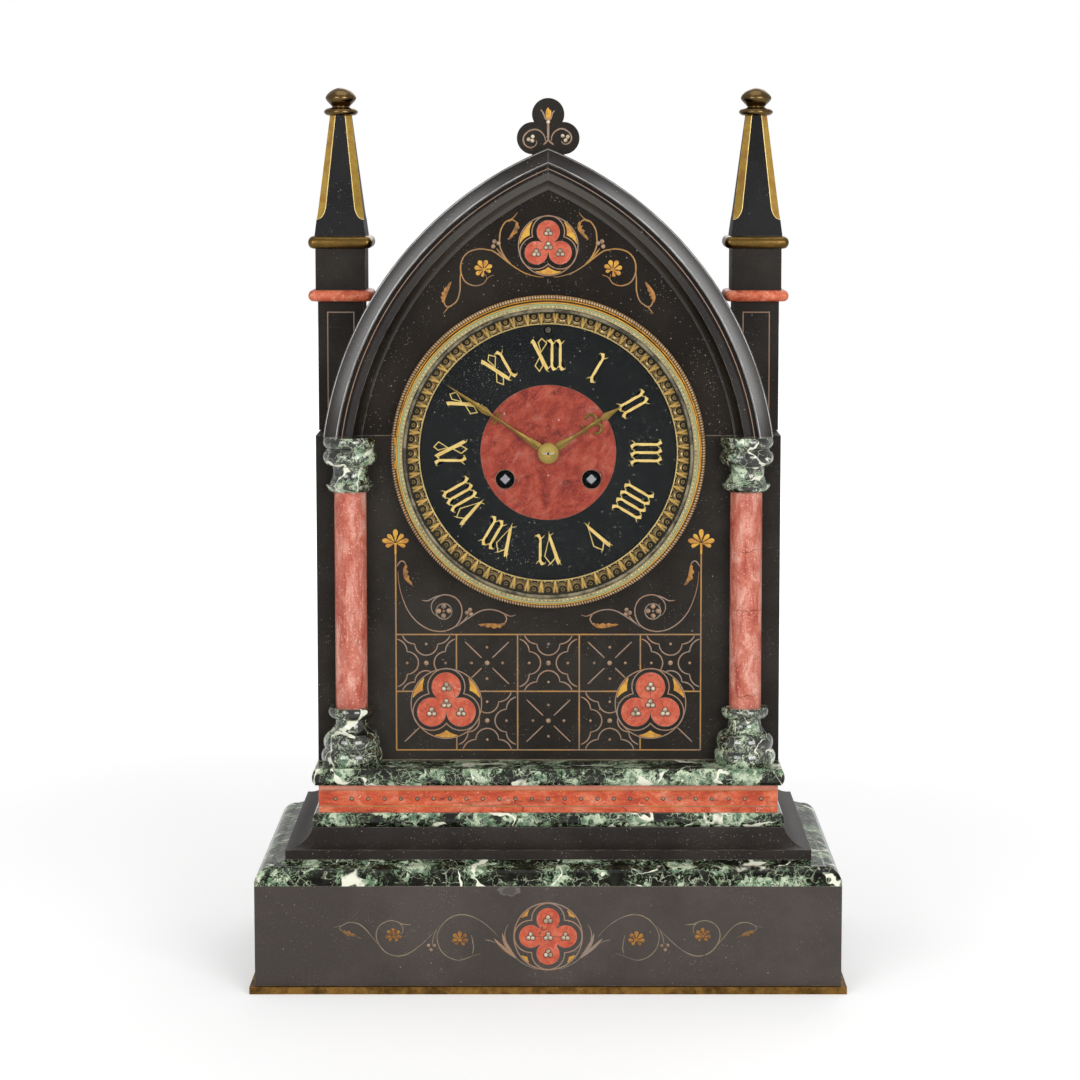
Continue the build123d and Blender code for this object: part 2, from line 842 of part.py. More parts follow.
def bezel():
    hinge_x = -(bezel_radius + hinge_offset)
    hinge_y = panel_front - hinge_drop
    half = hinge_length / 2
    fixed_low = half + hinge_gap
    fixed_high = fixed_low + hinge_fixed_length
    seat_front = panel_front - seat_height
    seat = turned_y(
        centre_at,
        (seat_inner_radius, panel_front),
        (seat_outer_radius, panel_front),
        (seat_outer_radius, seat_front + seat_chamfer),
        (seat_outer_radius - seat_chamfer, seat_front),
        (seat_inner_radius, seat_front + seat_lip),
    )
    for low, high in ((fixed_low, fixed_high), (-fixed_high, -fixed_low)):
        arm = block(
            hinge_x - hinge_radius, hinge_x - hinge_pin_radius, hinge_y, panel_front,
            dial_z + low, dial_z + high
        )
        seat += arm + hinge_barrel(hinge_x, hinge_y, hinge_radius, low, high)
    seat += hinge_barrel(hinge_x, hinge_y, hinge_pin_radius, -fixed_high, fixed_high)
    save("bezel_seat", seat)

    door = turned_y(
        centre_at,
        (bezel_inner_radius, panel_front - bezel_back_gap),
        (bezel_radius, panel_front - bezel_back_gap),
        (bezel_radius, bezel_front + bezel_edge),
        (bezel_radius - bezel_edge, bezel_front),
        (bezel_lip_radius, bezel_front),
        (bezel_lip_radius, bezel_front + bezel_lip_thickness),
        (bezel_inner_radius, bezel_front + bezel_lip_thickness),
    )
    room = fixed_high + hinge_gap
    door -= hinge_barrel(hinge_x, hinge_y, hinge_radius + hinge_clearance, -room, room)
    tab_end = hinge_x + hinge_radius + hinge_clearance + hinge_offset
    tab_half = hinge_pin_radius + hinge_gap
    door += block(hinge_x, tab_end, hinge_y - tab_half, hinge_y + tab_half, dial_z - half, dial_z + half)
    door += hinge_barrel(hinge_x, hinge_y, hinge_radius, -half, half)
    door -= hinge_barrel(hinge_x, hinge_y, hinge_pin_radius + running_clearance, -half, half)
    save("bezel", door)

    held = bezel_inner_radius - glass_gap
    save("glass", rod(centre_at, held, glass_front, glass_back))
    sight_back = dial_face - sight_gap
    shoulder = held - sight_ledge
    sight = turned_y(
        centre_at,
        (held, glass_back),
        (shoulder, glass_back),
        (sight_inner_radius, sight_back - sight_thickness),
        (sight_inner_radius, sight_back),
        (sight_inner_radius + sight_thickness, sight_back),
        (shoulder + sight_thickness, glass_back + sight_rim_height),
        (held, glass_back + sight_rim_height),
    )
    save("sight_ring", sight)


def mirrored_outline(*points):
    """A hand's blade: half of its outline, from the hub to the tip, mirrored across its length."""
    return make_face(Polyline(*points, *[(-x, v) for x, v in reversed(points)], close=True))


def laid_hand(sketch, angle, back):
    """Turn a hand drawn pointing up to its angle, clockwise from twelve, at its depth."""
    hand = plate(sketch, back - hand_thickness, back)
    return Pos(0, 0, dial_z) * (Rot(0, angle, 0) * hand)


def hands():
    root = (hand_root_half_width, 0.8 * hand_hub_radius)
    waist = (hand_waist_half_width, 2 * hand_hub_radius)
    minute = Circle(hand_hub_radius) - Circle(cannon_radius)
    minute += mirrored_outline(
        root,
        waist,
        (hand_stem_half_width, 0.34 * minute_hand_length),
        (hand_stem_half_width, 0.55 * minute_hand_length),
        (hand_spear_half_width, 0.625 * minute_hand_length),
        (0.6 * hand_spear_half_width, 0.69 * minute_hand_length),
        (hand_tip_half_width, minute_hand_length),
    ) - Circle(cannon_radius)
    bar_at = minute_hand_length / 2
    for at in (bar_at, bar_at + 2 * hand_bar_thickness):
        minute += Pos(0, at) * Rectangle(2 * hand_bar_half_width, hand_bar_thickness)
    save("minute_hand", laid_hand(minute, minute_hand_angle, minute_hand_back))

    hour = Circle(hand_hub_radius) - Circle(hour_pipe_radius)
    hour += mirrored_outline(
        root,
        waist,
        (hand_stem_half_width, 0.38 * hour_hand_length),
        (hand_stem_half_width, 0.48 * hour_hand_length),
        (1.5 * hand_stem_half_width, 0.66 * hour_hand_length),
        (1.2 * hand_stem_half_width, 0.72 * hour_hand_length),
        (hand_spear_half_width, 0.8 * hour_hand_length),
        (0.6 * hand_spear_half_width, 0.86 * hour_hand_length),
        (hand_tip_half_width, hour_hand_length),
    ) - Circle(hour_pipe_radius)
    hour += Pos(0, hour_hand_length / 2) * Rectangle(2 * hand_bar_half_width, hand_bar_thickness)
    hook_bite = 0.75 * hand_hook_band
    hook = Circle(hand_hook_radius)
    hook -= Pos(0, -hook_bite) * Circle(hand_hook_radius - hand_hook_band + hook_bite)
    right_hook = Pos(hand_hook_radius + hand_hook_gap, 0.62 * hour_hand_length) * hook
    hour += right_hook + mirror(right_hook, Plane.YZ)
    save("hour_hand", laid_hand(hour, hour_hand_angle, hour_hand_back))

    collet_back = minute_hand_back - hand_thickness
    collet_front = collet_back - collet_height
    collet = turned_y(
        centre_at,
        (0.0, collet_back),
        (collet_radius, collet_back),
        (collet_radius, collet_back - 0.3 * collet_height),
        (0.72 * collet_radius, collet_back - 0.74 * collet_height),
        (0.36 * collet_radius, collet_front),
        (0.0, collet_front),
    )
    collet += Pos(0, collet_front + collet_pin_radius, dial_z) * Rot(0, 90, 0) * Cylinder(
        collet_pin_radius, 1.5 * collet_radius
    )
    save("hand_collet", collet)


def motion_work():
    cannon_module = 2 * motion_distance / (cannon_teeth + minute_wheel_teeth)
    hour_module = 2 * motion_distance / (minute_pinion_teeth + hour_wheel_teeth)
    low_back = front_plate_front - motion_gap
    low_front = low_back - wheel_thickness
    high_front = low_front - wheel_thickness - motion_gap
    high_back = high_front + wheel_thickness
    cannon_front = minute_hand_back - hand_thickness
    down = angle_to(centre_at, motion_at)
    up = angle_to(motion_at, centre_at)
    bore = rod(centre_at, centre_arbor_radius + running_clearance, cannon_front, low_back)
    cannon = rod(centre_at, cannon_radius, cannon_front, low_back)
    cannon += gear(centre_at, cannon_teeth, cannon_module, low_front, low_back, down)
    save("cannon_pinion", cannon - bore)

    wheel = gear(motion_at, minute_wheel_teeth, cannon_module, low_front, low_back, up, gap=True)
    wheel += gear(motion_at, minute_pinion_teeth, hour_module, high_front, low_front, up)
    wheel -= rod(motion_at, arbor_radius + running_clearance, high_front, low_back)
    save("minute_wheel", wheel)

    pipe_front = hour_hand_back - hand_thickness
    hour_wheel = gear(centre_at, hour_wheel_teeth, hour_module, high_front, high_back, down, gap=True)
    hour_wheel += rod(centre_at, hour_pipe_radius, pipe_front, high_back)
    hour_wheel -= rod(centre_at, cannon_radius + running_clearance, pipe_front, high_back)
    save("hour_wheel", hour_wheel)
    return high_front


def movement_frame(stud_front):
    blank = Pos(*centre_at) * Circle(plate_radius)
    pivots = [third_at, escape_at, second_at]
    holes = [(at, arbor_radius) for at in pivots]
    holes += [(anchor_at, arbor_radius), (centre_at, centre_arbor_radius), (hammer_at, hammer_arbor_radius)]
    front, back = blank, blank
    for at, radius in holes:
        hole = Pos(*at) * Circle(radius + running_clearance)
        front -= hole
        back -= hole
    for at in (going_at, strike_at):
        front -= Pos(*at) * Circle(winding_arbor_radius + running_clearance)
        back -= Pos(*at) * Circle(winding_pivot_radius + running_clearance)
    front_plate = plate(front, front_plate_front, front_plate_back)
    front_plate += rod(motion_at, arbor_radius, stud_front, front_plate_front)
    save("movement_plates", front_plate, plate(back, back_plate_front, back_plate_back))

    pillars = [around(plate_radius - pillar_inset, angle) for angle in pillar_angles]
    save("plate_pillars", *[rod(at, pillar_radius, front_plate_back, back_plate_front) for at in pillars])


def winding():
    great_module = 2 * winding_distance / (great_wheel_teeth + train_pinion_teeth)
    square_front = dial_face + square_setback
    square_back = square_front + winding_square_length
    ratchet_back = front_plate_front - ratchet_gap
    ratchet_front = ratchet_back - ratchet_thickness
    clicks = []
    for name, at, hand in (("going", going_at, 1), ("strike", strike_at, -1)):
        square = Pos(*at) * (Rot(0, 0, 45) * Rectangle(winding_square, winding_square))
        arbor = plate(square, square_front, square_back)
        arbor += rod(at, winding_arbor_radius, square_back, back_plate_front)
        arbor += rod(at, winding_pivot_radius, back_plate_front, back_plate_back)
        ratchet = toothed(ratchet_teeth, ratchet_radius - 1.0, ratchet_radius, 0.0)
        arbor += plate(Pos(*at) * ratchet, ratchet_front, ratchet_back)
        save(f"{name}_arbor", arbor)

        pivot = (at[0] + hand * click_reach, at[1])
        click = rod(pivot, click_width / 2, ratchet_front, front_plate_front)
        tip = hand * (click_reach - ratchet_radius - click_gap)
        x0, x1 = sorted((pivot[0], pivot[0] - tip))
        click += block(x0, x1, ratchet_front, ratchet_back, at[1] - click_width / 2, at[1] + click_width / 2)
        clicks.append(click)
    save("clicks", *clicks)

    going_front = front_plate_back + going_drum_gap
    going_wheel_front = going_front + drum_length + great_wheel_gap
    going = barrel(going_at, going_front)
    going += rod(going_at, drum_hub_radius, going_front + drum_length, going_wheel_front)
    going_wheel_back = going_wheel_front + great_wheel_thickness
    going += gear(
        going_at, great_wheel_teeth, great_module, going_wheel_front, going_wheel_back,
        angle_to(going_at, centre_at)
    )
    arbor_bore = winding_arbor_radius + running_clearance
    save("going_barrel", going - rod(going_at, arbor_bore, front_plate_back, back_plate_front))

    strike_front = front_plate_back + strike_drum_gap
    strike_wheel_back = strike_front - strike_wheel_gap
    strike = barrel(strike_at, strike_front)
    strike += rod(strike_at, drum_hub_radius, strike_wheel_back, strike_front)
    strike_wheel_front = strike_wheel_back - great_wheel_thickness
    strike += gear(
        strike_at, great_wheel_teeth, great_module, strike_wheel_front, strike_wheel_back,
        angle_to(strike_at, second_at)
    )
    save("strike_barrel", strike - rod(strike_at, arbor_bore, front_plate_back, back_plate_front))
    return great_module, going_wheel_front, strike_wheel_front


def barrel(at, front):
    """A closed drum that holds a mainspring."""
    drum = rod(at, drum_radius, front, front + drum_length)
    hollow = rod(at, drum_radius - drum_wall, front + drum_wall, front + drum_length - drum_wall)
    return drum - (hollow - rod(at, drum_hub_radius, front, front + drum_length))


def trains(great_module, going_wheel_front, strike_wheel_front):
    centre_module = 2 * distance(centre_at, third_at) / (centre_wheel_teeth + train_pinion_teeth)
    third_module = 2 * distance(third_at, escape_at) / (third_wheel_teeth + train_pinion_teeth)
    centre_front = front_plate_back + centre_wheel_gap
    centre_back = centre_front + wheel_thickness
    third_front = front_plate_back + third_wheel_gap
    third_back = third_front + wheel_thickness
    escape_front = back_plate_front - escape_wheel_gap - wheel_thickness
    great_back = going_wheel_front + great_wheel_thickness

    centre = rod(centre_at, centre_arbor_radius, minute_hand_back, back_plate_back)
    centre += gear(
        centre_at, train_pinion_teeth, great_module,
        going_wheel_front - pinion_overlap, great_back + pinion_overlap,
        angle_to(centre_at, going_at), gap=True
    )
    to_third = angle_to(centre_at, third_at)
    centre += gear(centre_at, centre_wheel_teeth, centre_module, centre_front, centre_back, to_third)
    save("centre_wheel", centre)

    third = rod(third_at, arbor_radius, front_plate_front, back_plate_back)
    third += gear(
        third_at, train_pinion_teeth, centre_module,
        centre_front - pinion_overlap, centre_back + pinion_overlap,
        angle_to(third_at, centre_at), gap=True
    )
    to_escape = angle_to(third_at, escape_at)
    third += gear(third_at, third_wheel_teeth, third_module, third_front, third_back, to_escape)
    save("third_wheel", third)

    escape = rod(escape_at, arbor_radius, front_plate_front, back_plate_back)
    escape += gear(
        escape_at, train_pinion_teeth, third_module,
        third_front - pinion_overlap, third_back + pinion_overlap,
        angle_to(escape_at, third_at), gap=True
    )
    wheel = toothed(escape_teeth, 0.8 * escape_radius, escape_radius, 90.0)
    escape += plate(Pos(*escape_at) * wheel, escape_front, escape_front + wheel_thickness)
    save("escape_wheel", escape)

    count_front = back_plate_back + count_wheel_gap
    second = rod(second_at, arbor_radius, front_plate_front, count_front + wheel_thickness)
    second += gear(
        second_at, train_pinion_teeth, great_module, strike_wheel_front - pinion_overlap,
        strike_wheel_front + great_wheel_thickness + pinion_overlap, angle_to(second_at, strike_at), gap=True
    )
    second_front = front_plate_back + second_wheel_gap
    second += rod(second_at, second_wheel_radius, second_front, second_front + wheel_thickness)
    count = Circle(count_wheel_radius)
    for index in range(count_notches):
        notch = Pos(count_wheel_radius, 0) * Rectangle(2 * count_notch_width, count_notch_width)
        count -= Rot(0, 0, 360 * index / count_notches) * notch
    second += plate(Pos(*second_at) * count, count_front, count_front + wheel_thickness)
    save("second_wheel", second)
    return escape_front


def escapement(escape_front):
    escape_back = escape_front + wheel_thickness
    crutch_front = back_plate_back + count_wheel_gap + wheel_thickness + crutch_gap
    crutch_back = crutch_front + crutch_thickness
    anchor_sketch = Pos(*anchor_at) * Circle(anchor_hub_radius)
    for side in (-1, 1):
        end = (
            escape_at[0] + side * anchor_arm_reach * sin(radians(anchor_arm_angle)),
            escape_at[1] + anchor_arm_reach * cos(radians(anchor_arm_angle)),
        )
        length = distance(anchor_at, end)
        middle = ((anchor_at[0] + end[0]) / 2, (anchor_at[1] + end[1]) / 2)
        anchor_sketch += Pos(*middle) * (
            Rot(0, 0, angle_to(anchor_at, end)) * Rectangle(length, anchor_arm_width)
        )
        nib = Rectangle(anchor_nib_length, anchor_arm_width)
        anchor_sketch += Pos(*end) * (Rot(0, 0, angle_to(end, escape_at)) * nib)
    anchor = plate(anchor_sketch, escape_front, escape_back)
    anchor += rod(anchor_at, arbor_radius, front_plate_front, crutch_back)
    crutch_z = anchor_at[1] - crutch_length
    half = crutch_width / 2
    anchor += rod(anchor_at, anchor_hub_radius, crutch_front, crutch_back)
    anchor += block(-half, half, crutch_front, crutch_back, crutch_z, anchor_at[1])
    gap = pendulum_rod_radius + fork_clearance
    outer = gap + fork_prong
    anchor += block(-outer, outer, crutch_front, crutch_back, crutch_z - fork_height, crutch_z)
    fork_back = pendulum_y + pendulum_rod_radius
    for x0, x1 in ((-outer, -gap), (gap, outer)):
        anchor += block(x0, x1, crutch_front, fork_back, crutch_z - fork_height, crutch_z)
    save("anchor", anchor)


def pendulum():
    top = anchor_at[1]
    bob_z = top - pendulum_length
    rod_low = bob_z - bob_radius - rod_tail
    shaft_length = top - rod_low
    eye_half = pendulum_rod_radius
    shaft = Pos(0, pendulum_y, (top + rod_low) / 2) * Cylinder(pendulum_rod_radius, shaft_length)
    shaft += rod(anchor_at, pendulum_eye_radius, pendulum_y - eye_half, pendulum_y + eye_half)
    shaft -= rod(
        anchor_at, suspension_pin_radius + running_clearance, pendulum_y - pendulum_eye_radius,
        pendulum_y + pendulum_eye_radius
    )
    nut_top = bob_z - bob_radius
    nut = Cylinder(rating_nut_radius, rating_nut_height)
    shaft += Pos(0, pendulum_y, nut_top - rating_nut_height / 2) * nut
    save("pendulum_rod", shaft)

    half = bob_thickness / 2
    bob = turned_y(
        (0.0, bob_z),
        (0.0, pendulum_y - half),
        (0.7 * bob_radius, pendulum_y - 0.62 * half, bob_radius, pendulum_y - bob_rim / 2),
        (bob_radius, pendulum_y + bob_rim / 2),
        (0.7 * bob_radius, pendulum_y + 0.62 * half, 0.0, pendulum_y + half),
    )
    bob -= Pos(0, pendulum_y, bob_z) * Cylinder(pendulum_rod_radius + running_clearance, 3 * bob_radius)
    save("pendulum_bob", bob)

    bar_front = pendulum_y + pendulum_rod_radius + cock_bar_gap
    bar_back = bar_front + cock_bar_thickness
    leg_low = top - cock_leg_low
    leg_inner = cock_half_width - cock_leg_width
    leg = block(leg_inner, cock_half_width, back_plate_back, bar_back, leg_low, top + cock_leg_high)
    cock = leg + mirrored(leg)
    cock += block(-cock_half_width, cock_half_width, bar_front, bar_back, leg_low, top + cock_bar_high)
    post_top = regulator_at[1] + cock_post_margin
    cock += block(-cock_post_half_width, cock_post_half_width, bar_front, bar_back, top, post_top)
    cock -= rod(regulator_at, regulator_radius + running_clearance, bar_front, bar_back)
    cock += rod(anchor_at, suspension_pin_radius, pendulum_y - pendulum_eye_radius, bar_front)
    save("suspension_cock", cock)

    square_front = dial_face + square_setback
    arbor = plate(
        Pos(*regulator_at) * Rectangle(regulator_square, regulator_square), square_front, dial_plate_front
    )
    arbor += rod(regulator_at, regulator_radius, dial_plate_front, bar_back + regulator_tail)
    save("regulator_arbor", arbor)


def striking():
    rim = pendulum_y + pendulum_rod_radius + bell_gap
    crown = rim + bell_depth
    inner = bell_radius - bell_wall
    crown_inside = crown - bell_crown
    post_bore = bell_post_radius + running_clearance
    bell = turned_y(
        bell_at,
        (bell_radius, rim),
        (0.82 * bell_radius, rim + 0.74 * bell_depth, bell_flat_radius, crown),
        (post_bore, crown),
        (post_bore, crown_inside),
        (bell_flat_radius, crown_inside),
        (0.82 * inner, rim + 0.74 * (bell_depth - bell_crown), inner, rim),
    )
    save("bell", bell)

    post = rod(bell_at, bell_post_radius, back_plate_back, crown + bell_nut_height)
    post += rod(bell_at, bell_collar_radius, crown_inside - bell_collar_height, crown_inside)
    nut = Pos(*bell_at) * (RegularPolygon(bell_nut_radius, 6) - Circle(post_bore))
    save("bell_stand", post, plate(nut, crown, crown + bell_nut_height))

    hit = bell_radius + hammer_gap + hammer_head_radius
    head_at = (
        bell_at[0] + hit * cos(radians(hammer_strike_angle)),
        bell_at[1] + hit * sin(radians(hammer_strike_angle)),
    )
    head_front = rim + hammer_gap
    length = distance(hammer_at, head_at)
    middle = ((hammer_at[0] + head_at[0]) / 2, (hammer_at[1] + head_at[1]) / 2)
    lever = Rot(0, 0, angle_to(hammer_at, head_at)) * Rectangle(length, hammer_rod_width)
    hammer = rod(hammer_at, hammer_arbor_radius, front_plate_front, head_front + hammer_rod_width)
    hammer += plate(Pos(*middle) * lever, head_front, head_front + hammer_rod_width)
    hammer += rod(head_at, hammer_head_radius, head_front, head_front + hammer_head_length)
    tail_front = front_plate_back + hammer_tail_gap
    hammer += block(
        hammer_at[0], hammer_at[0] + hammer_tail_length, tail_front, tail_front + wheel_thickness,
        hammer_at[1] - hammer_rod_width / 2, hammer_at[1] + hammer_rod_width / 2
    )
    save("hammer", hammer)


def rear():
    straps, screws = [], []
    ring = Pos(*centre_at) * (Circle(rear_ring_outer_radius) - Circle(rear_ring_inner_radius))
    rear_bezel = plate(ring, body_back, rear_ring_back)
    head_front = rear_ring_back - screw_head_height
    for side in (-1, 1):
        x = side * (rear_hole_radius - strap_inset)
        at = (x, dial_z)
        bore = rod(at, screw_radius, rear_ring_back - screw_length, rear_ring_back)
        strap = block(
            x - strap_thickness / 2, x + strap_thickness / 2, panel_front, body_back,
            dial_z - strap_half_width, dial_z + strap_half_width
        )
        straps.append(strap - bore)
        recess = rod(at, screw_head_radius, head_front, rear_ring_back)
        rear_bezel -= bore + recess
        screws.append(bore + recess)
    save("movement_straps", *straps)
    save("strap_screws", *screws)

    hinge_x = rear_door_radius + rear_hinge_offset
    hinge_y = door_front + rear_door_thickness
    half = rear_hinge_length / 2
    fixed_low = half + hinge_gap
    fixed_high = fixed_low + rear_hinge_fixed_length
    for low, high in ((fixed_low, fixed_high), (-fixed_high, -fixed_low)):
        rear_bezel += hinge_barrel(hinge_x, hinge_y, rear_hinge_radius, low, high)
        rear_bezel += block(
            hinge_x - rear_hinge_pin_radius, hinge_x + rear_hinge_pin_radius, rear_ring_back, hinge_y,
            dial_z + low, dial_z + high
        )
    rear_bezel += hinge_barrel(hinge_x, hinge_y, rear_hinge_pin_radius, -fixed_high, fixed_high)
    save("rear_bezel", rear_bezel)

    door_back = door_front + rear_door_thickness
    door = rod(centre_at, rear_door_radius, door_front, door_back)
    door += block(rear_ring_inner_radius, hinge_x, door_front, door_back, dial_z - half, dial_z + half)
    door += hinge_barrel(hinge_x, hinge_y, rear_hinge_radius - rear_door_gap / 2, -half, half)
    door -= hinge_barrel(hinge_x, hinge_y, rear_hinge_pin_radius + running_clearance, -half, half)
    knob_at = (rear_knob_inset - rear_door_radius, dial_z)
    door += rod(knob_at, rear_knob_radius, door_back, door_back + rear_knob_height)
    save("rear_door", door)


os.makedirs("parts", exist_ok=True)
base_courses()
case_walls()
arch()
pinnacles()
columns()
dial()
bezel()
hands()
movement_frame(motion_work())
escapement(trains(*winding()))
pendulum()
striking()
rear()
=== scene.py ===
# %% [markdown]
# This lesson dresses a Gothic mantel clock: a case of black slate with red and green marble, a slate dial
# behind a gilt bezel, and a striking movement inside. The imported CAD model gives every solid and every joint.
# Blender adds what a CAD model leaves plain: the finish of each stone and metal, and the thin work that lies on
# the surface, such as engraved lines, numerals and beading. The model is loaded first.

# %% Load the clock
import json
import math

import bmesh
import bpy
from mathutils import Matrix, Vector

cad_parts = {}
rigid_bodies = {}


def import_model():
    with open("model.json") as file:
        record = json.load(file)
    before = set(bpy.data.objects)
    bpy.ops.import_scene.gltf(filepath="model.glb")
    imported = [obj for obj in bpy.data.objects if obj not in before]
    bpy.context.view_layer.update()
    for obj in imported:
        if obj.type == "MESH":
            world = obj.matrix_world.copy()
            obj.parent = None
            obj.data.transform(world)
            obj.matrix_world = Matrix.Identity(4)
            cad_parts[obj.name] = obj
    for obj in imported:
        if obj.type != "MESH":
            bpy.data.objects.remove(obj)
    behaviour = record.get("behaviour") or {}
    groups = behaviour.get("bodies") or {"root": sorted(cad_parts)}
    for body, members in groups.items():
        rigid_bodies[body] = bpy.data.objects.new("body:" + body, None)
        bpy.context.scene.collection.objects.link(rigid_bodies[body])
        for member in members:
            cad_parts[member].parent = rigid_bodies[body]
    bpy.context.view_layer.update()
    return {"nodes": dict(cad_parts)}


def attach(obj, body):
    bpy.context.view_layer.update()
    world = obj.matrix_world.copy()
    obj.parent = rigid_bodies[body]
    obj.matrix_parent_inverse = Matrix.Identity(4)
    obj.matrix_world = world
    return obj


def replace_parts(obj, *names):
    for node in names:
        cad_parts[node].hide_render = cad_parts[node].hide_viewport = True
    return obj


for leftover in list(bpy.data.objects):
    bpy.data.objects.remove(leftover)
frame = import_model()
MM = 0.001

# %% [markdown]
# The photograph was taken from the height of the crest, about a metre and a half away, with a longish lens.
# A small tilt and a small lens shift put the clock at the same place in the square picture. The rest of the
# framing comes from where the camera stands, so that the steps of the base show as much of their tops.

# %% Camera
CAMERA_AT = (6.2, -1579.0, 436.0)
CAMERA_TILT = 5.9
camera_lens = bpy.data.cameras.new("studio_camera")
camera_lens.sensor_width = 36.0
camera_lens.lens = 97.9
camera_lens.shift_x = -0.0185
camera_lens.shift_y = -0.0752
camera = bpy.data.objects.new("studio_camera", camera_lens)
camera.location = [part * MM for part in CAMERA_AT]
camera.rotation_euler = (math.radians(90 - CAMERA_TILT), 0, 0)
bpy.context.scene.collection.objects.link(camera)
bpy.context.scene.camera = camera
bpy.context.scene.view_settings.view_transform = "Standard"
print("camera at", tuple(round(part, 3) for part in camera.location))

# %% [markdown]
# Shader nodes are easier to read as sums than as boxes and wires. A Val wraps one socket, and arithmetic on it
# adds Math nodes. A Bench wraps a node tree, and its node method adds any other node: its type, its settings,
# and then the values or links of its sockets. Colours are written as the 0 to 255 numbers of a picture.

# %% Colours of a picture


def srgb(red, green, blue):
    """A picture's colour as the linear colour that a shader wants."""
    def linear(part):
        part /= 255
        return part / 12.92 if part <= 0.04045 else ((part + 0.055) / 1.055) ** 2.4
    return (linear(red), linear(green), linear(blue), 1.0)


print("a middle grey is", round(srgb(128, 128, 128)[0], 3), "in linear light")

# %% Sums on sockets


class Val:
    """One socket of a node tree, with arithmetic."""

    def __init__(self, bench, socket):
        self.bench, self.socket = bench, socket

    def maths(self, operation, first, second=0.0):
        return self.bench.node("Math", {"operation": operation}, {0: first, 1: second})

    def __add__(self, other):
        return self.maths("ADD", self, other)

    def __sub__(self, other):
        return self.maths("SUBTRACT", self, other)

    def __rsub__(self, other):
        return self.maths("SUBTRACT", other, self)

    def __mul__(self, other):
        return self.maths("MULTIPLY", self, other)

    def __abs__(self):
        return self.maths("ABSOLUTE", self)

    def most(self, other):
        return self.maths("MAXIMUM", self, other)

    def fade(self, start, end):
        """0 at start and 1 at end, with a soft change between them."""
        settings = {"interpolation_type": "SMOOTHSTEP"}
        limits = {"Value": self, "From Min": start, "From Max": end}
        return self.bench.node("MapRange", settings, limits)

    __radd__ = __add__
    __rmul__ = __mul__


print("sums on sockets ready")

# %% A bench for nodes


class Bench:
    """A node tree, and the one method that adds any node to it."""

    def __init__(self, tree):
        self.tree = tree

    def plug(self, socket, value):
        if isinstance(value, Val):
            self.tree.links.new(value.socket, socket)
        elif hasattr(value, "__len__"):
            socket.default_value = tuple(value)[:len(socket.default_value)]
        else:
            socket.default_value = value

    def node(self, kind, settings=None, inputs=None, output=0):
        made = self.tree.nodes.new("ShaderNode" + kind)
        for key, value in (settings or {}).items():
            if key == "stops":
                ramp = made.color_ramp.elements
                for place, _ in value[1:-1]:
                    ramp.new(place)
                ramp[0].position, ramp[-1].position = value[0][0], value[-1][0]
                for element, (_, colour) in zip(ramp, value):
                    element.color = colour
            else:
                setattr(made, key, value)
        for key, value in (inputs or {}).items():
            self.plug(made.inputs[key], value)
        return Val(self, made.outputs[output])

    def mix(self, share, first, second):
        return self.node("Mix", {"data_type": "RGBA"}, {0: share, 6: first, 7: second}, 2)

    def vector(self, operation, first, second, output=0):
        return self.node("VectorMath", {"operation": operation}, {0: first, 1: second}, output)


print("bench for nodes ready")

# %% [markdown]
# A product photograph has a white floor that runs up into a white wall, with only a soft shadow at the foot.
# A strong lamp on the floor would also bleach the clock, so the white is given to what the camera sees, and a
# reflection gets part of it. The lamps stay at a plain level: four big soft boxes and a pale world light the clock.

# %% White world
WORLD_LIGHT = 0.42
MIRROR_SHARE = 0.3


def seen_rays(bench):
    """1 for what the camera or a glass looks at, less for a reflection, and 0 for light on its way to a surface."""
    rays = [bench.node("LightPath", output=f"Is {ray} Ray") for ray in ("Camera", "Glossy", "Transmission")]
    return rays[0].most(rays[1] * MIRROR_SHARE).most(rays[2])


world = bpy.data.worlds.new("studio")
world.use_nodes = True
bpy.context.scene.world = world
sky = Bench(world.node_tree)
sky_light = world.node_tree.nodes["Background"].inputs
sky.plug(sky_light["Color"], (1, 1, 1, 1))
sky.plug(sky_light["Strength"], seen_rays(sky) * (1 - WORLD_LIGHT) + WORLD_LIGHT)
print("world of", WORLD_LIGHT, "light")

# %% Pale floor
FLOOR_SIZE = 12.0
FLOOR_GLOW = (0.31, 0.9)
FLOOR_REACH = (0.35, 1.6)

floor_stuff = bpy.data.materials.new("studio_floor")
floor_stuff.use_nodes = True
floor_bench = Bench(floor_stuff.node_tree)
matt = floor_bench.node("BsdfDiffuse", {}, {"Color": (0.8, 0.8, 0.8, 1)})
from_clock = floor_bench.vector("LENGTH", floor_bench.node("TexCoord", output="Object"), (0, 0, 0), "Value")
glow_level = from_clock.fade(*FLOOR_REACH) * (FLOOR_GLOW[1] - FLOOR_GLOW[0]) + FLOOR_GLOW[0]
glow = floor_bench.node("Emission", {}, {"Color": (1, 1, 1, 1), "Strength": seen_rays(floor_bench) * glow_level})
both = floor_bench.node("AddShader", {}, {0: matt, 1: glow})
floor_bench.plug(floor_stuff.node_tree.nodes["Material Output"].inputs["Surface"], both)

floor_mesh = bpy.data.meshes.new("studio_floor")
half_floor = FLOOR_SIZE / 2
floor_corners = [(x * half_floor, y * half_floor, 0) for x, y in ((-1, -1), (1, -1), (1, 1), (-1, 1))]
floor_mesh.from_pydata(floor_corners, [], [(0, 1, 2, 3)])
floor_mesh.materials.append(floor_stuff)
floor = bpy.data.objects.new("studio_floor", floor_mesh)
bpy.context.scene.collection.objects.link(floor)
print("floor", FLOOR_SIZE, "metres wide")

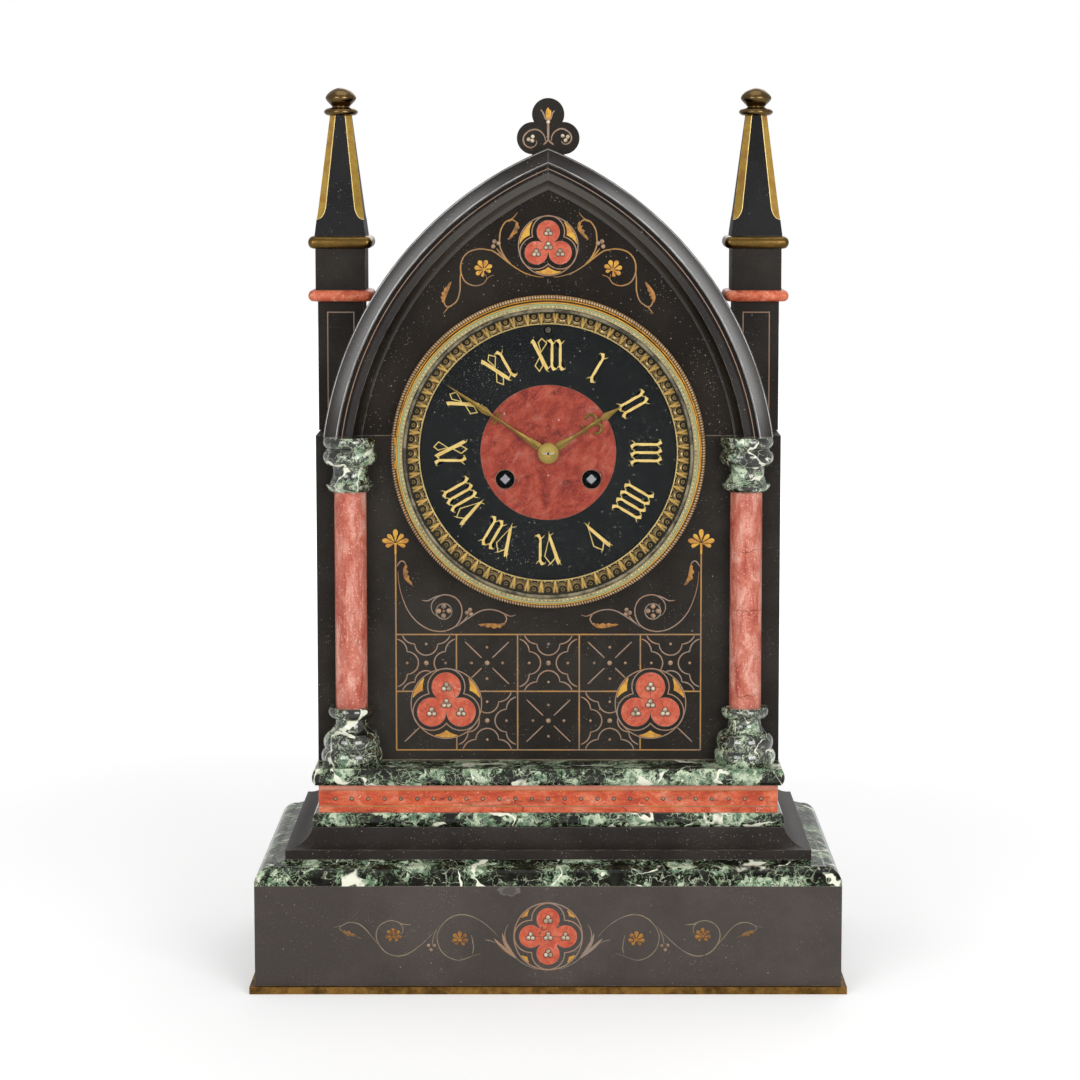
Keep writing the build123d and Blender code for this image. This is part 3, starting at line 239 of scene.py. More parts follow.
# %% Soft boxes
AIM_AT = Vector((0, 0, 0.22))
SOFT_BOXES = {
    "key_box": ((1.0, -1.9, 0.75), 1.0, 22),
    "fill_box": ((-1.05, -1.9, 0.8), 1.0, 15),
    "top_box": ((0.0, -0.1, 2.2), 1.6, 10),
    "back_box": ((0.4, 1.9, 1.3), 1.5, 12),
}
for name, (place, size, power) in SOFT_BOXES.items():
    lamp = bpy.data.lights.new(name, "AREA")
    lamp.size, lamp.energy = size, power
    box = bpy.data.objects.new(name, lamp)
    box.location = place
    box.rotation_euler = (AIM_AT - Vector(place)).to_track_quat("-Z", "Y").to_euler()
    bpy.context.scene.collection.objects.link(box)
print("studio with", len(SOFT_BOXES), "soft boxes")

# %% [markdown]
# Every finish starts the same way: a Principled shader, the place on the surface in millimetres, and a few kinds
# of noise. The place comes from the object itself, so a stone keeps its veins when a door swings. Edges of old
# stone and metal wear first, and the Bevel node finds them: near an edge it bends the normal away from the face.

# %% The start of a finish
EDGE_REACH = 0.55


class Finish(Bench):
    """A procedural material, with the noises that the finishes share."""

    def __init__(self, name, constants=None):
        self.material = bpy.data.materials.new(name)
        self.material.use_nodes = True
        super().__init__(self.material.node_tree)
        self.shader = self.tree.nodes["Principled BSDF"]
        self.give(**(constants or {}))

    def linked(self, word):
        """What feeds a socket of the shader, to build on."""
        return Val(self, self.shader.inputs[word].links[0].from_socket)

    def give(self, **values):
        for words, value in values.items():
            self.plug(self.shader.inputs[words.replace("_", " ")], value)
        return self

    def place(self, stretch=(1, 1, 1), lean=0.0):
        """The place on the surface in millimetres, turned by lean degrees as seen from the front, then stretched."""
        spot = self.node("TexCoord", output="Object")
        if lean:
            turn = {"Vector": spot, "Angle": math.radians(lean)}
            spot = self.node("VectorRotate", {"rotation_type": "Y_AXIS"}, turn)
        return self.vector("MULTIPLY", spot, tuple(part / MM for part in stretch))

    def noise(self, spot, size, detail=3.0, rough=0.5, warp=0.0):
        """Soft noise with blotches about size millimetres across."""
        inputs = {"Vector": spot, "Scale": 1 / size, "Detail": detail, "Roughness": rough, "Distortion": warp}
        return self.node("TexNoise", {}, inputs)

    def bent(self, spot, size, reach):
        """The place pushed about by noise, which turns straight cells into torn ones."""
        push = self.node("TexNoise", {}, {"Vector": spot, "Scale": 1 / size, "Detail": 3.0}, "Color")
        push = self.vector("SUBTRACT", push, (0.5, 0.5, 0.5))
        return self.vector("ADD", spot, self.vector("MULTIPLY", push, (reach, reach, reach)))

    def cells(self, spot, size, feature="F1", output="Distance"):
        return self.node("TexVoronoi", {"feature": feature}, {"Vector": spot, "Scale": 1 / size}, output)

    def specks(self, spot, size, dot):
        """Dots of about dot millimetres across, some in each patch of size millimetres."""
        near = self.cells(spot, size)
        lot = self.node("SeparateColor", {}, {0: self.cells(spot, size, output="Color")})
        return (dot / size * lot - near).fade(0.0, 0.25 * dot / size)

    def veins(self, noise, width):
        """Thin lines where a noise passes its middle value."""
        return 1 - abs(noise - 0.5).fade(0.3 * width, width)

    def edges(self, reach=EDGE_REACH):
        rounded = self.node("Bevel", {"samples": 4}, {"Radius": reach * MM})
        face = self.node("NewGeometry", output="Normal")
        return (1 - self.vector("DOT_PRODUCT", rounded, face, "Value")).fade(0.015, 0.16)

    def bump(self, height, depth):
        self.give(Normal=self.node("Bump", {}, {"Height": height, "Strength": 1.0, "Distance": depth * MM}))
        return self


print("finishes start with edges", EDGE_REACH, "mm wide")

# %% [markdown]
# The case is slate, sawn, rubbed smooth and polished with wax: a warm black with faint clouds, pale specks of
# dust and chalk, and grey arrises, partly worn polish and partly a painted highlight along the edges. The base
# takes the same recipe with a greyer ground, a painted reflection of the pale floor and lamps on its front.
# One flake is missing from its front edge.

# %% Slate
DUST = srgb(176, 168, 156)
ARRIS_WEAR_AND_HIGHLIGHT = srgb(150, 140, 128)
CHIP_AT, CHIP_SIZE = (-20.3, -79.0, 54.6), (5.6, 4.0, 3.0)


def slate(name, ground, cloud, wear=0.7, gloss=0.4, polish=0.14, chip=False, dust=0.5, dust_cell=5.5, dust_dot=0.42):
    """Slate from ground and clouds: wear scales pale arrises, part worn, part painted highlight; one dust dot per
    dust_cell.
    """
    stone = Finish(name, {"Specular_IOR_Level": polish})
    spot = stone.place()
    clouds = stone.noise(spot, 46.0, 6.0, 0.6).fade(0.36, 0.68)
    grain = stone.noise(spot, 0.7, 4.0, 0.6)
    specks = stone.specks(spot, dust_cell, dust_dot)
    specks = specks.most(stone.specks(spot, 2.1, 0.26) * stone.noise(spot, 30.0).fade(0.42, 0.6))
    specks = specks.most(stone.specks(spot, 1.2, 0.3) * stone.noise(spot, 24.0, 4.0).fade(0.47, 0.66) * 0.8)
    # The pale arrises are partly worn polish and partly a painted highlight along the edges.
    worn = stone.edges() * stone.noise(spot, 9.0, 4.0).fade(0.3, 0.66) * wear
    colour = stone.mix(clouds, srgb(*ground), srgb(*cloud))
    colour = stone.mix(grain.fade(0.45, 0.8) * 0.35, colour, srgb(*[part + 24 for part in cloud]))
    colour = stone.mix(specks * dust, colour, DUST)
    colour = stone.mix(worn, colour, ARRIS_WEAR_AND_HIGHLIGHT)
    if chip:
        from_chip = stone.vector("SUBTRACT", spot, CHIP_AT)
        from_chip = stone.vector("DIVIDE", from_chip, CHIP_SIZE)
        reach = stone.vector("LENGTH", from_chip, (0, 0, 0), "Value") + (stone.noise(spot, 2.6, 4.0) - 0.5) * 1.2
        flake = 1 - reach.fade(0.75, 1.05)
        lip = flake * reach.fade(0.62, 0.9)
        colour = stone.mix(flake * 0.08 + lip * 0.26, colour, srgb(164, 160, 156))
    stone.give(Base_Color=colour, Roughness=gloss + grain * 0.16 + worn * 0.25 + specks * 0.2)
    return stone.bump(grain + clouds * 0.5, 0.006)


panel_slate = slate("panel_slate", (33, 29, 25), (48, 44, 40), polish=0.1)
tympanum_slate = slate("tympanum_slate", (25, 20, 16), (39, 34, 29), polish=0.08,
                       dust=0.75, dust_cell=2.6, dust_dot=0.36)
arch_slate = slate("arch_slate", (26, 22, 20), (37, 33, 30), 0.7, 0.3, 0.06)
# The greyer ground of the base is a painted reflection of the pale floor and lamps.
base_slate = slate("base_slate", (66, 60, 56), (76, 69, 65), 0.55, 0.42, 0.14, True)
dial_slate = slate("dial_slate", (20, 21, 22), (29, 30, 31), 0.3, 0.45, 0.08, dust=0.9, dust_cell=2.4, dust_dot=0.38)
plinth_slate = slate("plinth_slate", (36, 31, 29), (50, 45, 42), polish=0.1, dust=0.6, dust_cell=1.9, dust_dot=0.3)
obelisk_slate = slate("obelisk_slate", (24, 23, 24), (36, 35, 36), polish=0.08)
print("seven slates")

# %% [markdown]
# The outer band and the hollow of the arch have kept their gloss, and the hollow takes a painted sheen, paler
# towards its top. Each half of the arch is part of a circle, so the distance from that circle's middle tells band
# and hollow apart. It steers a coat on the shader and the painted sheen, and no mesh has to be split.

# %% Gloss of the arch and painted sheen in its hollow
ARCH_MIDDLE = (70.8, 261.8)
BAND_STARTS, BAND_FADES, BAND_FRONT = (183.2, 184.2), (184.8, 190.5), (-35.5, -34.0)
HOLLOW_RIM, HOLLOW_SHEEN_RISES = (179.4, 180.2), (345.0, 430.0)
arch_place = arch_slate.place()
arch_across, arch_back, arch_up = [arch_slate.node("SeparateXYZ", {}, {0: arch_place}, axis) for axis in range(3)]
arch_reach = arch_slate.node("CombineXYZ", {}, {0: abs(arch_across) + ARCH_MIDDLE[0], 2: arch_up - ARCH_MIDDLE[1]})
arch_radius = arch_slate.vector("LENGTH", arch_reach, (0, 0, 0), "Value")
arch_gloss = arch_radius.fade(*BAND_STARTS) * (1 - arch_radius.fade(*BAND_FADES) * 0.75)
arch_gloss = arch_gloss * (1 - arch_back.fade(*BAND_FRONT))
arch_gloss = arch_gloss + 1 - arch_radius.fade(*HOLLOW_RIM)
arch_slate.give(Coat_Weight=arch_gloss * 0.85, Coat_Roughness=0.14)
# The hollow's paler colour towards its top is a painted sheen.
arch_hollow_sheen = (1 - arch_radius.fade(*HOLLOW_RIM)) * arch_up.fade(*HOLLOW_SHEEN_RISES)
arch_colour = arch_slate.mix(arch_hollow_sheen * 0.5, arch_slate.linked("Base Color"), srgb(92, 86, 78))
arch_slate.give(Base_Color=arch_colour)
print("glossy band from", BAND_STARTS[0], "mm out")

# %% [markdown]
# The red marble is a French griotte: brick red, clouded with pink, crossed by grey and white veins and by a few
# black cracks. Three pieces of noise make it: broad clouds for the body, the middle line of a second noise for
# the veins, and the borders of torn cells for the cracks. A stretch along one axis lays the streaks, and a fine
# stipple of dark and pale dots gives the grain of the larger pieces.

# %% Red marble


def red_marble(name, deep, body, pale, stretch, veining=0.5, clouding=9.0, lean=0.0,
               streaking=0.4, breaks=(), threads=1.0, stipple=0.0):
    """Red stone in three tones. Each break is a crack across: its place, its height and half its length."""
    stone = Finish(name, {"Specular_IOR_Level": 0.35})
    spot, still = stone.place(stretch, lean), stone.place()
    clouds = stone.noise(spot, clouding, 8.0, 0.66, 0.6)
    stops = [(0.34, srgb(*deep)), (0.5, srgb(*body)), (0.68, srgb(*pale))]
    colour = stone.node("ValToRGB", {"stops": stops}, {0: clouds})
    grain = stone.noise(still, 0.6, 4.0, 0.7)
    streak = stone.noise(stone.place([part ** 3 for part in stretch], lean), 2.2, 4.0, 0.6)
    colour = stone.mix((1 - streak.fade(0.3, 0.5)) * streaking, colour, srgb(*[part * 0.72 for part in deep]))
    colour = stone.mix(grain.fade(0.54, 0.75) * 0.3, colour, srgb(*[part * 1.14 for part in pale]))
    colour = stone.mix((1 - grain.fade(0.25, 0.44)) * 0.4, colour, srgb(112, 36, 26))
    if stipple:
        colour = stone.mix(stone.specks(still, 1.1, 0.62) * stipple, colour, srgb(*[part * 0.9 for part in deep]))
        colour = stone.mix(stone.specks(still, 1.4, 0.6) * stipple, colour, srgb(*[part * 1.1 for part in pale]))
    patches = stone.noise(still, 13.0, 3.0).fade(0.5, 0.66)
    haze = stone.noise(spot, 7.0, 5.0, 0.7).fade(0.5, 0.74) * patches
    white = stone.veins(stone.noise(still, 19.0, 4.0, 0.62, 0.6), 0.004) * stone.noise(still, 8.0).fade(0.52, 0.62)
    cracks = 1 - stone.cells(stone.bent(spot, 9.0, 9.0), 15.0, "DISTANCE_TO_EDGE").fade(0.004, 0.016)
    cracks = cracks * stone.noise(still, 10.0).fade(0.52, 0.62) * (0.3 if breaks else 1.0)
    for x, z, half in breaks:
        across, _, up = [stone.node("SeparateXYZ", {}, {0: still}, axis) for axis in range(3)]
        crooked = abs(up - z + (stone.noise(still, 5.0, 4.0) - 0.5) * 6.0)
        cracks = cracks.most((1 - crooked.fade(0.12, 0.4)) * (1 - abs(across - x).fade(half - 1.0, half)))
    flecks = stone.specks(still, 7.0, 0.8)
    colour = stone.mix(haze * veining * 0.7, colour, srgb(176, 132, 124))
    colour = stone.mix((white * threads + flecks * 0.5) * veining, colour, srgb(230, 204, 188))
    colour = stone.mix(cracks * 0.65, colour, srgb(62, 26, 22))
    colour = stone.mix(stone.edges() * 0.3, colour, srgb(230, 170, 144))
    stone.give(Base_Color=colour, Roughness=0.3 + grain * 0.2 + cracks * 0.2)
    return stone.bump(grain - cracks, 0.008)


frieze_marble = red_marble("frieze_marble", (172, 58, 32), (202, 86, 50), (220, 134, 100), (0.5, 1, 1), 0.9, 7.0,
                           streaking=0.6, stipple=0.3)
collar_marble = red_marble("collar_marble", (174, 66, 40), (208, 102, 68), (230, 150, 116), (0.8, 1, 1), 1.0, 4.0)
inlay_marble = red_marble("inlay_marble", (174, 66, 43), (192, 86, 59), (204, 112, 84), (1, 1, 1), 0.45, 5.0)
dial_marble = red_marble("dial_marble", (120, 30, 17), (162, 56, 34), (188, 96, 74), (0.75, 1, 1.1), 1.1, 7.0, 52.0,
                         0.3, threads=0.2, stipple=0.3)
COLUMN_BREAKS = ((111.0, 196.0, 12.0), (106.0, 228.0, 5.0), (106.0, 150.0, 6.0))
column_marble = red_marble("column_marble", (166, 68, 52), (198, 114, 94), (228, 172, 154), (1.2, 1.2, 0.5), 0.7, 9.0,
                           breaks=COLUMN_BREAKS, stipple=0.4)
print("five cuts of red marble")

# %% The frieze's paler top
FRIEZE_PALES = (101.1, 101.5)
frieze_up = frieze_marble.node("SeparateXYZ", {}, {0: frieze_marble.place()}, 2)
frieze_pale = frieze_up.fade(*FRIEZE_PALES) * 0.45
frieze_colour = frieze_marble.mix(frieze_pale, frieze_marble.linked("Base Color"), srgb(186, 142, 126))
frieze_marble.give(Base_Color=frieze_colour)
print("frieze paler above", FRIEZE_PALES[0], "mm")

# %% [markdown]
# The green marble is a breccia: broken black and dark green stone, healed with mint green and white. It carries
# the strongest pattern on the clock, in patches of about a centimetre with lively white strokes, so each layer
# has a hard border. Polish keeps it glossy, and the turned capitals show the soft boxes as small highlights.

# %% Green marble


def green_marble(name, cover, wax=0.0, white=0.0, lace=(120, 142, 110), polish=0.45):
    """The broken green stone: cover and white are how far the mint and the white spread, wax is a gloss on top."""
    stone = Finish(name, {"Specular_IOR_Level": polish})
    spot = stone.place()
    torn = stone.bent(stone.bent(spot, 7.0, 9.0), 1.6, 1.8)
    dark = stone.noise(spot, 6.0, 4.0, 0.6)
    colour = stone.mix(dark.fade(0.4, 0.66), srgb(13, 12, 9), srgb(36, 38, 28))
    field = stone.noise(torn, 15.0, 3.0, 0.55)
    moss = stone.noise(torn, 1.7, 5.0, 0.72, 0.6)
    mint = field.fade(0.56 - cover, 0.585 - cover) * moss.fade(0.4, 0.46)
    fringe = field.fade(0.42 - cover, 0.52 - cover) * moss.fade(0.53, 0.57)
    leaf = stone.mix(stone.noise(spot, 5.0, 4.0, 0.7).fade(0.4, 0.62), srgb(90, 118, 92), srgb(196, 210, 180))
    colour = stone.mix(fringe, colour, srgb(*lace))
    colour = stone.mix(mint, colour, leaf)
    crackle = 1 - stone.cells(torn, 5.0, "DISTANCE_TO_EDGE").fade(0.015, 0.05)
    crackle = crackle * stone.noise(spot, 8.0).fade(0.46, 0.58)
    colour = stone.mix(crackle * 0.6, colour, srgb(190, 200, 172))
    brush = stone.noise(spot, 12.0, 2.0).fade(0.38, 0.72)
    stroke = stone.noise(stone.bent(spot, 16.0, 12.0), 31.0, 2.0, 0.4, 0.5)
    strokes = 1 - (abs(stroke - 0.5) - brush * 0.03).fade(-0.004, 0.002)
    strokes = strokes * stone.noise(spot, 21.0).fade(0.45 - cover - white, 0.51 - cover - white)
    colour = stone.mix(strokes, colour, stone.mix(dark, srgb(214, 220, 198), srgb(244, 240, 222)))
    colour = stone.mix(stone.edges() * 0.35, colour, srgb(176, 176, 150))
    stone.give(Base_Color=colour, Roughness=0.05 + moss * 0.06, Coat_Weight=wax, Coat_Roughness=0.12)
    return stone.bump(moss, 0.002)


moulding_green = green_marble("moulding_green", 0.0, polish=0.15)
slab_green = green_marble("slab_green", 0.055)
turned_green = green_marble("turned_green", -0.012, 1.0, 0.07, (176, 190, 160))
print("three cuts of green marble")

# %% [markdown]
# The metals are brass and bronze at different ages. A recipe takes the bright colour, the tarnish that sits in
# the hollows, and how much of it there is. Turned pieces also keep fine rings from the lathe, and the strip
# under the base was knurled with slanting cuts, so the recipe has a bump for each. A rope is darker between its
# strands, partly dirt and partly painted shade in the grooves, so their number round the dial can be given too.

# %% A recipe for metal
DIAL_Z = 279.2


def metal(name, bright, tarnish, dirt=0.5, gloss=0.3, rings=False, hatch=0.0,
          shine=1.0, strands=0, patch=6.0, grit=0.02):
    """Old metal: dirt is how much is tarnished, in patches of patch millimetres, and grit is how deep its grain is."""
    stuff = Finish(name, {"Specular_IOR_Level": 0.5})
    spot = stuff.place()
    blotch = stuff.noise(spot, patch, 6.0, 0.66).fade(0.38, 0.7)
    grain = stuff.noise(spot, 0.45, 3.0, 0.6)
    worn = stuff.edges(0.4)
    colour = stuff.mix(blotch * dirt, srgb(*bright), srgb(*tarnish))
    colour = stuff.mix((1 - grain.fade(0.3, 0.5)) * dirt * 0.5, colour, srgb(*[part * 0.55 for part in tarnish]))
    height = grain
    if rings:
        lathe = stuff.node("TexWave", {"wave_type": "RINGS", "rings_direction": "Y"},
                           {"Vector": stuff.vector("SUBTRACT", spot, (0, 0, DIAL_Z)), "Scale": 0.8, "Distortion": 1.5})
        height = height + lathe
        colour = stuff.mix(lathe * 0.18, colour, srgb(*tarnish))
    if hatch:
        cut = stuff.node("TexWave", {"wave_type": "BANDS", "bands_direction": "DIAGONAL"},
                         {"Vector": spot, "Scale": 1 / hatch, "Distortion": 0.8, "Detail Scale": 2.0})
        height = height + cut * 2
        colour = stuff.mix(cut.fade(0.55, 0.1) * 0.55, colour, srgb(*[part * 0.5 for part in tarnish]))
    if strands:
        across, _, up = [stuff.node("SeparateXYZ", {}, {0: spot}, axis) for axis in range(3)]
        turn = stuff.node("Math", {"operation": "ARCTAN2"}, {0: across, 1: up - DIAL_Z})
        # Darker grooves between the strands: partly dirt, partly painted shade.
        groove_dirt_and_shade = turn.maths("SINE", turn * strands).fade(0.05, -0.6)
        colour = stuff.mix(groove_dirt_and_shade * 0.85, colour, srgb(*[part * 0.6 for part in tarnish]))
    colour = stuff.mix(worn * 0.6, colour, srgb(*[min(255, part * 1.2) for part in bright]))
    stuff.give(Base_Color=colour, Metallic=shine, Roughness=gloss + blotch * 0.2 + grain * 0.1)
    return stuff.bump(height, grit)


print("metal recipe ready, dial middle at", DIAL_Z, "mm")

# %% Metals
ROPE_STRANDS = 360
METALS = {
    "strip_brass": metal("strip_brass", (134, 100, 50), (66, 48, 28), 0.7, 0.42, hatch=0.4),
    "collar_brass": metal("collar_brass", (113, 88, 45), (54, 41, 22), 0.5, 0.22),
    "finial_bronze": metal("finial_bronze", (108, 87, 55), (60, 47, 30), 0.45, 0.14, patch=12.0, grit=0.004),
    "obelisk_gilt": metal("obelisk_gilt", (196, 160, 68), (158, 106, 52), 0.75, 0.36, shine=0.5),
    "bezel_gilt": metal("bezel_gilt", (222, 164, 72), (150, 100, 44), 0.45, 0.3, shine=0.7),
    "rope_gilt": metal("rope_gilt", (224, 192, 152), (128, 98, 70), 0.4, 0.36, shine=0.5, strands=ROPE_STRANDS),
    "bezel_olive": metal("bezel_olive", (162, 152, 116), (104, 98, 74), 0.7, 0.32, shine=0.6),
    "verdigris": metal("verdigris", (138, 160, 118), (176, 164, 114), 0.85, 0.5, shine=0.2),
    "bead_gilt": metal("bead_gilt", (222, 200, 140), (136, 122, 82), 0.55, 0.24, shine=0.7),
    "sight_brass": metal("sight_brass", (54, 49, 36), (26, 24, 19), 0.6, 0.4, shine=0.6),
    "shell_gilt": metal("shell_gilt", (190, 164, 110), (68, 58, 40), 0.52, 0.24, shine=0.55),
    "dart_gilt": metal("dart_gilt", (246, 214, 142), (146, 118, 70), 0.38, 0.22, shine=0.5),
    "leaf_gilt": metal("leaf_gilt", (232, 206, 138), (128, 108, 64), 0.35, 0.24, shine=0.55),
    "hand_brass": metal("hand_brass", (138, 114, 60), (84, 66, 33), 0.4, 0.26),
    "collet_brass": metal("collet_brass", (180, 158, 82), (142, 118, 56), 0.35, 0.5, shine=0.6),
    "numeral_gilt": metal("numeral_gilt", (236, 206, 126), (206, 158, 78), 0.45, 0.42, shine=0.3),
    "door_brass": metal("door_brass", (148, 120, 66), (112, 88, 48), 0.45, 0.4, rings=True, shine=0.8, patch=34.0),
    "movement_brass": metal("movement_brass", (190, 158, 86), (136, 106, 52), 0.35, 0.3, rings=True),
    "bell_metal": metal("bell_metal", (184, 168, 128), (124, 106, 70), 0.4, 0.26, rings=True),
    "steel": metal("steel", (162, 164, 168), (104, 102, 100), 0.35, 0.26),
    "dull_steel": metal("dull_steel", (92, 92, 94), (62, 60, 58), 0.5, 0.45, shine=0.6),
    "silver_steel": metal("silver_steel", (206, 206, 204), (150, 144, 134), 0.3, 0.3, shine=0.6),
}
print(len(METALS), "metals")

# %% [markdown]
# The engraved ornament was cut into the slate with a burin and filled with gold size and copper bronze powder.
# Most lines have rubbed to a pale copper, some are still gold, and the leaves are bright gilt or dull. These
# finishes are mostly matt, because the powder scatters light, with noise that breaks the line as wear does.

# %% Gilding in the cuts


def gilding(name, bright, worn, gap, size, shine=0.3):
    """Powder in a cut: bright and worn change over size millimetres, and gap is how far it has come out."""
    stuff = Finish(name, {"Specular_IOR_Level": 0.4})
    spot = stuff.place()
    age = stuff.noise(spot, size, 4.0, 0.6).fade(0.4, 0.64)
    bare = stuff.noise(spot, 1.5, 3.0, 0.6).fade(0.6, 0.74)
    colour = stuff.mix(age, srgb(*bright), srgb(*worn))
    colour = stuff.mix(bare * gap, colour, srgb(66, 54, 46))
    grain = stuff.noise(spot, 0.4, 2.0)
    stuff.give(Base_Color=colour, Metallic=shine * (1 - age * 0.5), Roughness=0.42 + grain * 0.2)
    return stuff.bump(grain, 0.02)


line_copper = gilding("line_copper", (150, 118, 94), (140, 122, 108), 0.6, 14.0)
line_gold = gilding("line_gold", (170, 126, 66), (140, 112, 86), 0.5, 22.0)
line_worn = gilding("line_worn", (140, 124, 100), (108, 98, 86), 0.75, 10.0, 0.1)
leaf_gold = gilding("leaf_gold", (204, 158, 62), (180, 122, 54), 0.45, 4.0, 0.4)
leaf_bronze = gilding("leaf_bronze", (166, 116, 54), (114, 78, 48), 0.6, 3.0, 0.35)
leaf_dull = gilding("leaf_dull", (128, 92, 48), (94, 68, 44), 0.6, 2.0, 0.25)
flower_gold = gilding("flower_gold", (164, 114, 42), (108, 68, 40), 0.6, 2.0, 0.35)
pearl = gilding("pearl", (206, 192, 168), (150, 130, 108), 0.3, 2.0, 0.6)
stud = gilding("stud", (166, 136, 110), (122, 102, 86), 0.35, 3.0, 0.5)
# Pale strips along the arch's arrises are a painted highlight.
arris_highlight = gilding("arris_highlight", (176, 174, 172), (128, 124, 120), 0.3, 20.0, 0.2)
dust_line = gilding("dust_line", (116, 102, 80), (84, 74, 60), 0.6, 8.0, 0.0)
dark_cut = gilding("dark_cut", (70, 38, 32), (52, 32, 28), 0.5, 6.0, 0.0)
print("twelve kinds of filling in the cuts")

# %% [markdown]
# The glass over the dial is two millimetres thick and clean, so the eye sees through it and only a trace of the
# room shows on it. A thin, almost clear shell keeps the gloss and lets the light through. A trace of dust
# breaks up its roughness. The bevelled rim of the glass takes a brassy grey, a painted reflection of the brass
# round it. Holes in the dial are dull black, a painted shade for their depth.

# %% Glass
glass_clear = Finish("glass_clear", {"Base_Color": (0.02, 0.03, 0.03, 1), "Alpha": 0.05, "Specular_IOR_Level": 0.15})
glass_dust = glass_clear.noise(glass_clear.place(), 18.0, 5.0, 0.6)
glass_clear.give(Roughness=glass_dust.fade(0.4, 0.8) * 0.08 + 0.02)
glass_clear.material.surface_render_method = "BLENDED"
bevel_glass = Finish("bevel_glass", {"Alpha": 0.75, "Specular_IOR_Level": 0.3})
bevel_reflection_noise = bevel_glass.noise(bevel_glass.place(), 7.0, 4.0)
# The brassy grey of the bevel is a painted reflection of the brass round it.
bevel_glass.give(Base_Color=bevel_glass.mix(bevel_reflection_noise.fade(0.35, 0.65), srgb(78, 73, 60), srgb(152, 141, 115)),
                 Roughness=0.1 + bevel_reflection_noise * 0.1)
# The black inside the holes is painted shade, mottled a little.
well_black = Finish("well_black", {"Specular_IOR_Level": 0.02})
hole_shade = well_black.noise(well_black.place(), 2.0, 3.0)
well_black.give(Base_Color=well_black.mix(hole_shade, srgb(4, 4, 4), srgb(14, 13, 12)), Roughness=0.7 + hole_shade * 0.2)
print("glass and soot made")

# %% [markdown]
# Now each CAD part takes its finish. The parts keep their own meshes, so this is only a table from finish to
# part names. Parts of the movement aren't in the table: they take brass, steel or bell metal by the slot that the
# CAD model gave them, and each of them is printed, so that a forgotten stone would stand out in the list.

# %% Finishes on the parts
ON_PARTS = {
    plinth_slate: "stepped_plinth",
    panel_slate: "front_panel side_panels back_panel shoulder_slabs piers pinnacle_blocks obelisks crest",
    tympanum_slate: "tympanum_panel",
    arch_slate: "arch_roof arch_mouldings",
    base_slate: "base_block",
    dial_slate: "dial_ring",
    frieze_marble: "rouge_frieze",
    collar_marble: "rouge_collars",
    inlay_marble: "rouge_inlays",
    dial_marble: "dial_centre",
    column_marble: "column_shafts",
    moulding_green: "base_moulding",
    slab_green: "green_slabs",
    turned_green: "capitals column_bases",
    glass_clear: "glass",
    METALS["strip_brass"]: "foot_strip",
    METALS["collar_brass"]: "brass_collars",
    METALS["finial_bronze"]: "finials",
    METALS["bezel_gilt"]: "bezel_seat",
    METALS["door_brass"]: "rear_bezel rear_door",
    METALS["bezel_olive"]: "bezel",
    METALS["sight_brass"]: "sight_ring",
    METALS["hand_brass"]: "minute_hand hour_hand",
    METALS["collet_brass"]: "hand_collet",
    METALS["dull_steel"]: "regulator_arbor",
}
BY_SLOT = {slot: METALS[slot] for slot in ("movement_brass", "steel", "bell_metal")}


def dress(part, finish):
    for holder in part.material_slots:
        holder.material = finish.material


dressed = set()
for finish, names in ON_PARTS.items():
    for name in names.split():
        dress(frame["nodes"][name], finish)
        dressed.add(name)
for name, part in frame["nodes"].items():
    if name in dressed:
        continue
    slot = part.material_slots[0].material.name.split(".")[0]
    dress(part, BY_SLOT.get(slot, METALS["movement_brass"]))
    print("movement part", name, "takes", slot)

# %% [markdown]
# The burin work needs a tool of its own. A Relief collects raised strokes, dots and leaves on one upright face
# and becomes one mesh. Each stroke is a closed bar with a ridge, sunk a little into the stone, so light runs along
# it as along a filled cut, and the mesh has no open backs. Points are in millimetres, across and up.

# %% Curves for the burin


def smooth(points, closed=False, steps=6):
    """A soft curve through the points."""
    count, path = len(points), []
    if count < 3:
        return list(points)
    for at in range(count if closed else count - 1):
        if closed:
            four = [points[(at + step) % count] for step in (-1, 0, 1, 2)]
        else:
            four = [points[max(at - 1, 0)], points[at], points[at + 1], points[min(at + 2, count - 1)]]
        for step in range(steps):
            t = step / steps
            path.append(tuple(
                0.5 * (2 * b + (c - a) * t + (2 * a - 5 * b + 4 * c - d) * t * t + (3 * b - a - 3 * c + d) * t ** 3)
                for a, b, c, d in zip(*four)))
    return path if closed else path + [points[-1]]


def arc(centre, radius, start, end, steps=24):
    angles = [math.radians(start + (end - start) * step / steps) for step in range(steps + 1)]
    return [(centre[0] + radius * math.cos(angle), centre[1] + radius * math.sin(angle)) for angle in angles]


def flip(points, side):
    return [(side * x, z) for x, z in points]


SIDES = (-1, 1)
print("curves ready")

# %% Mounting a piece


def mount(name, mesh, finish, body="case"):
    """A mesh as a named piece of the clock, with its finish, on its body."""
    mesh.materials.append(finish.material)
    made = bpy.data.objects.new(name, mesh)
    bpy.context.scene.collection.objects.link(made)
    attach(made, body)
    print(name, len(mesh.polygons), "faces, rides on", body)
    return made


print("mounting ready")

# %% A tool for thin work
SUNK = 0.25
RIDGE = 0.14


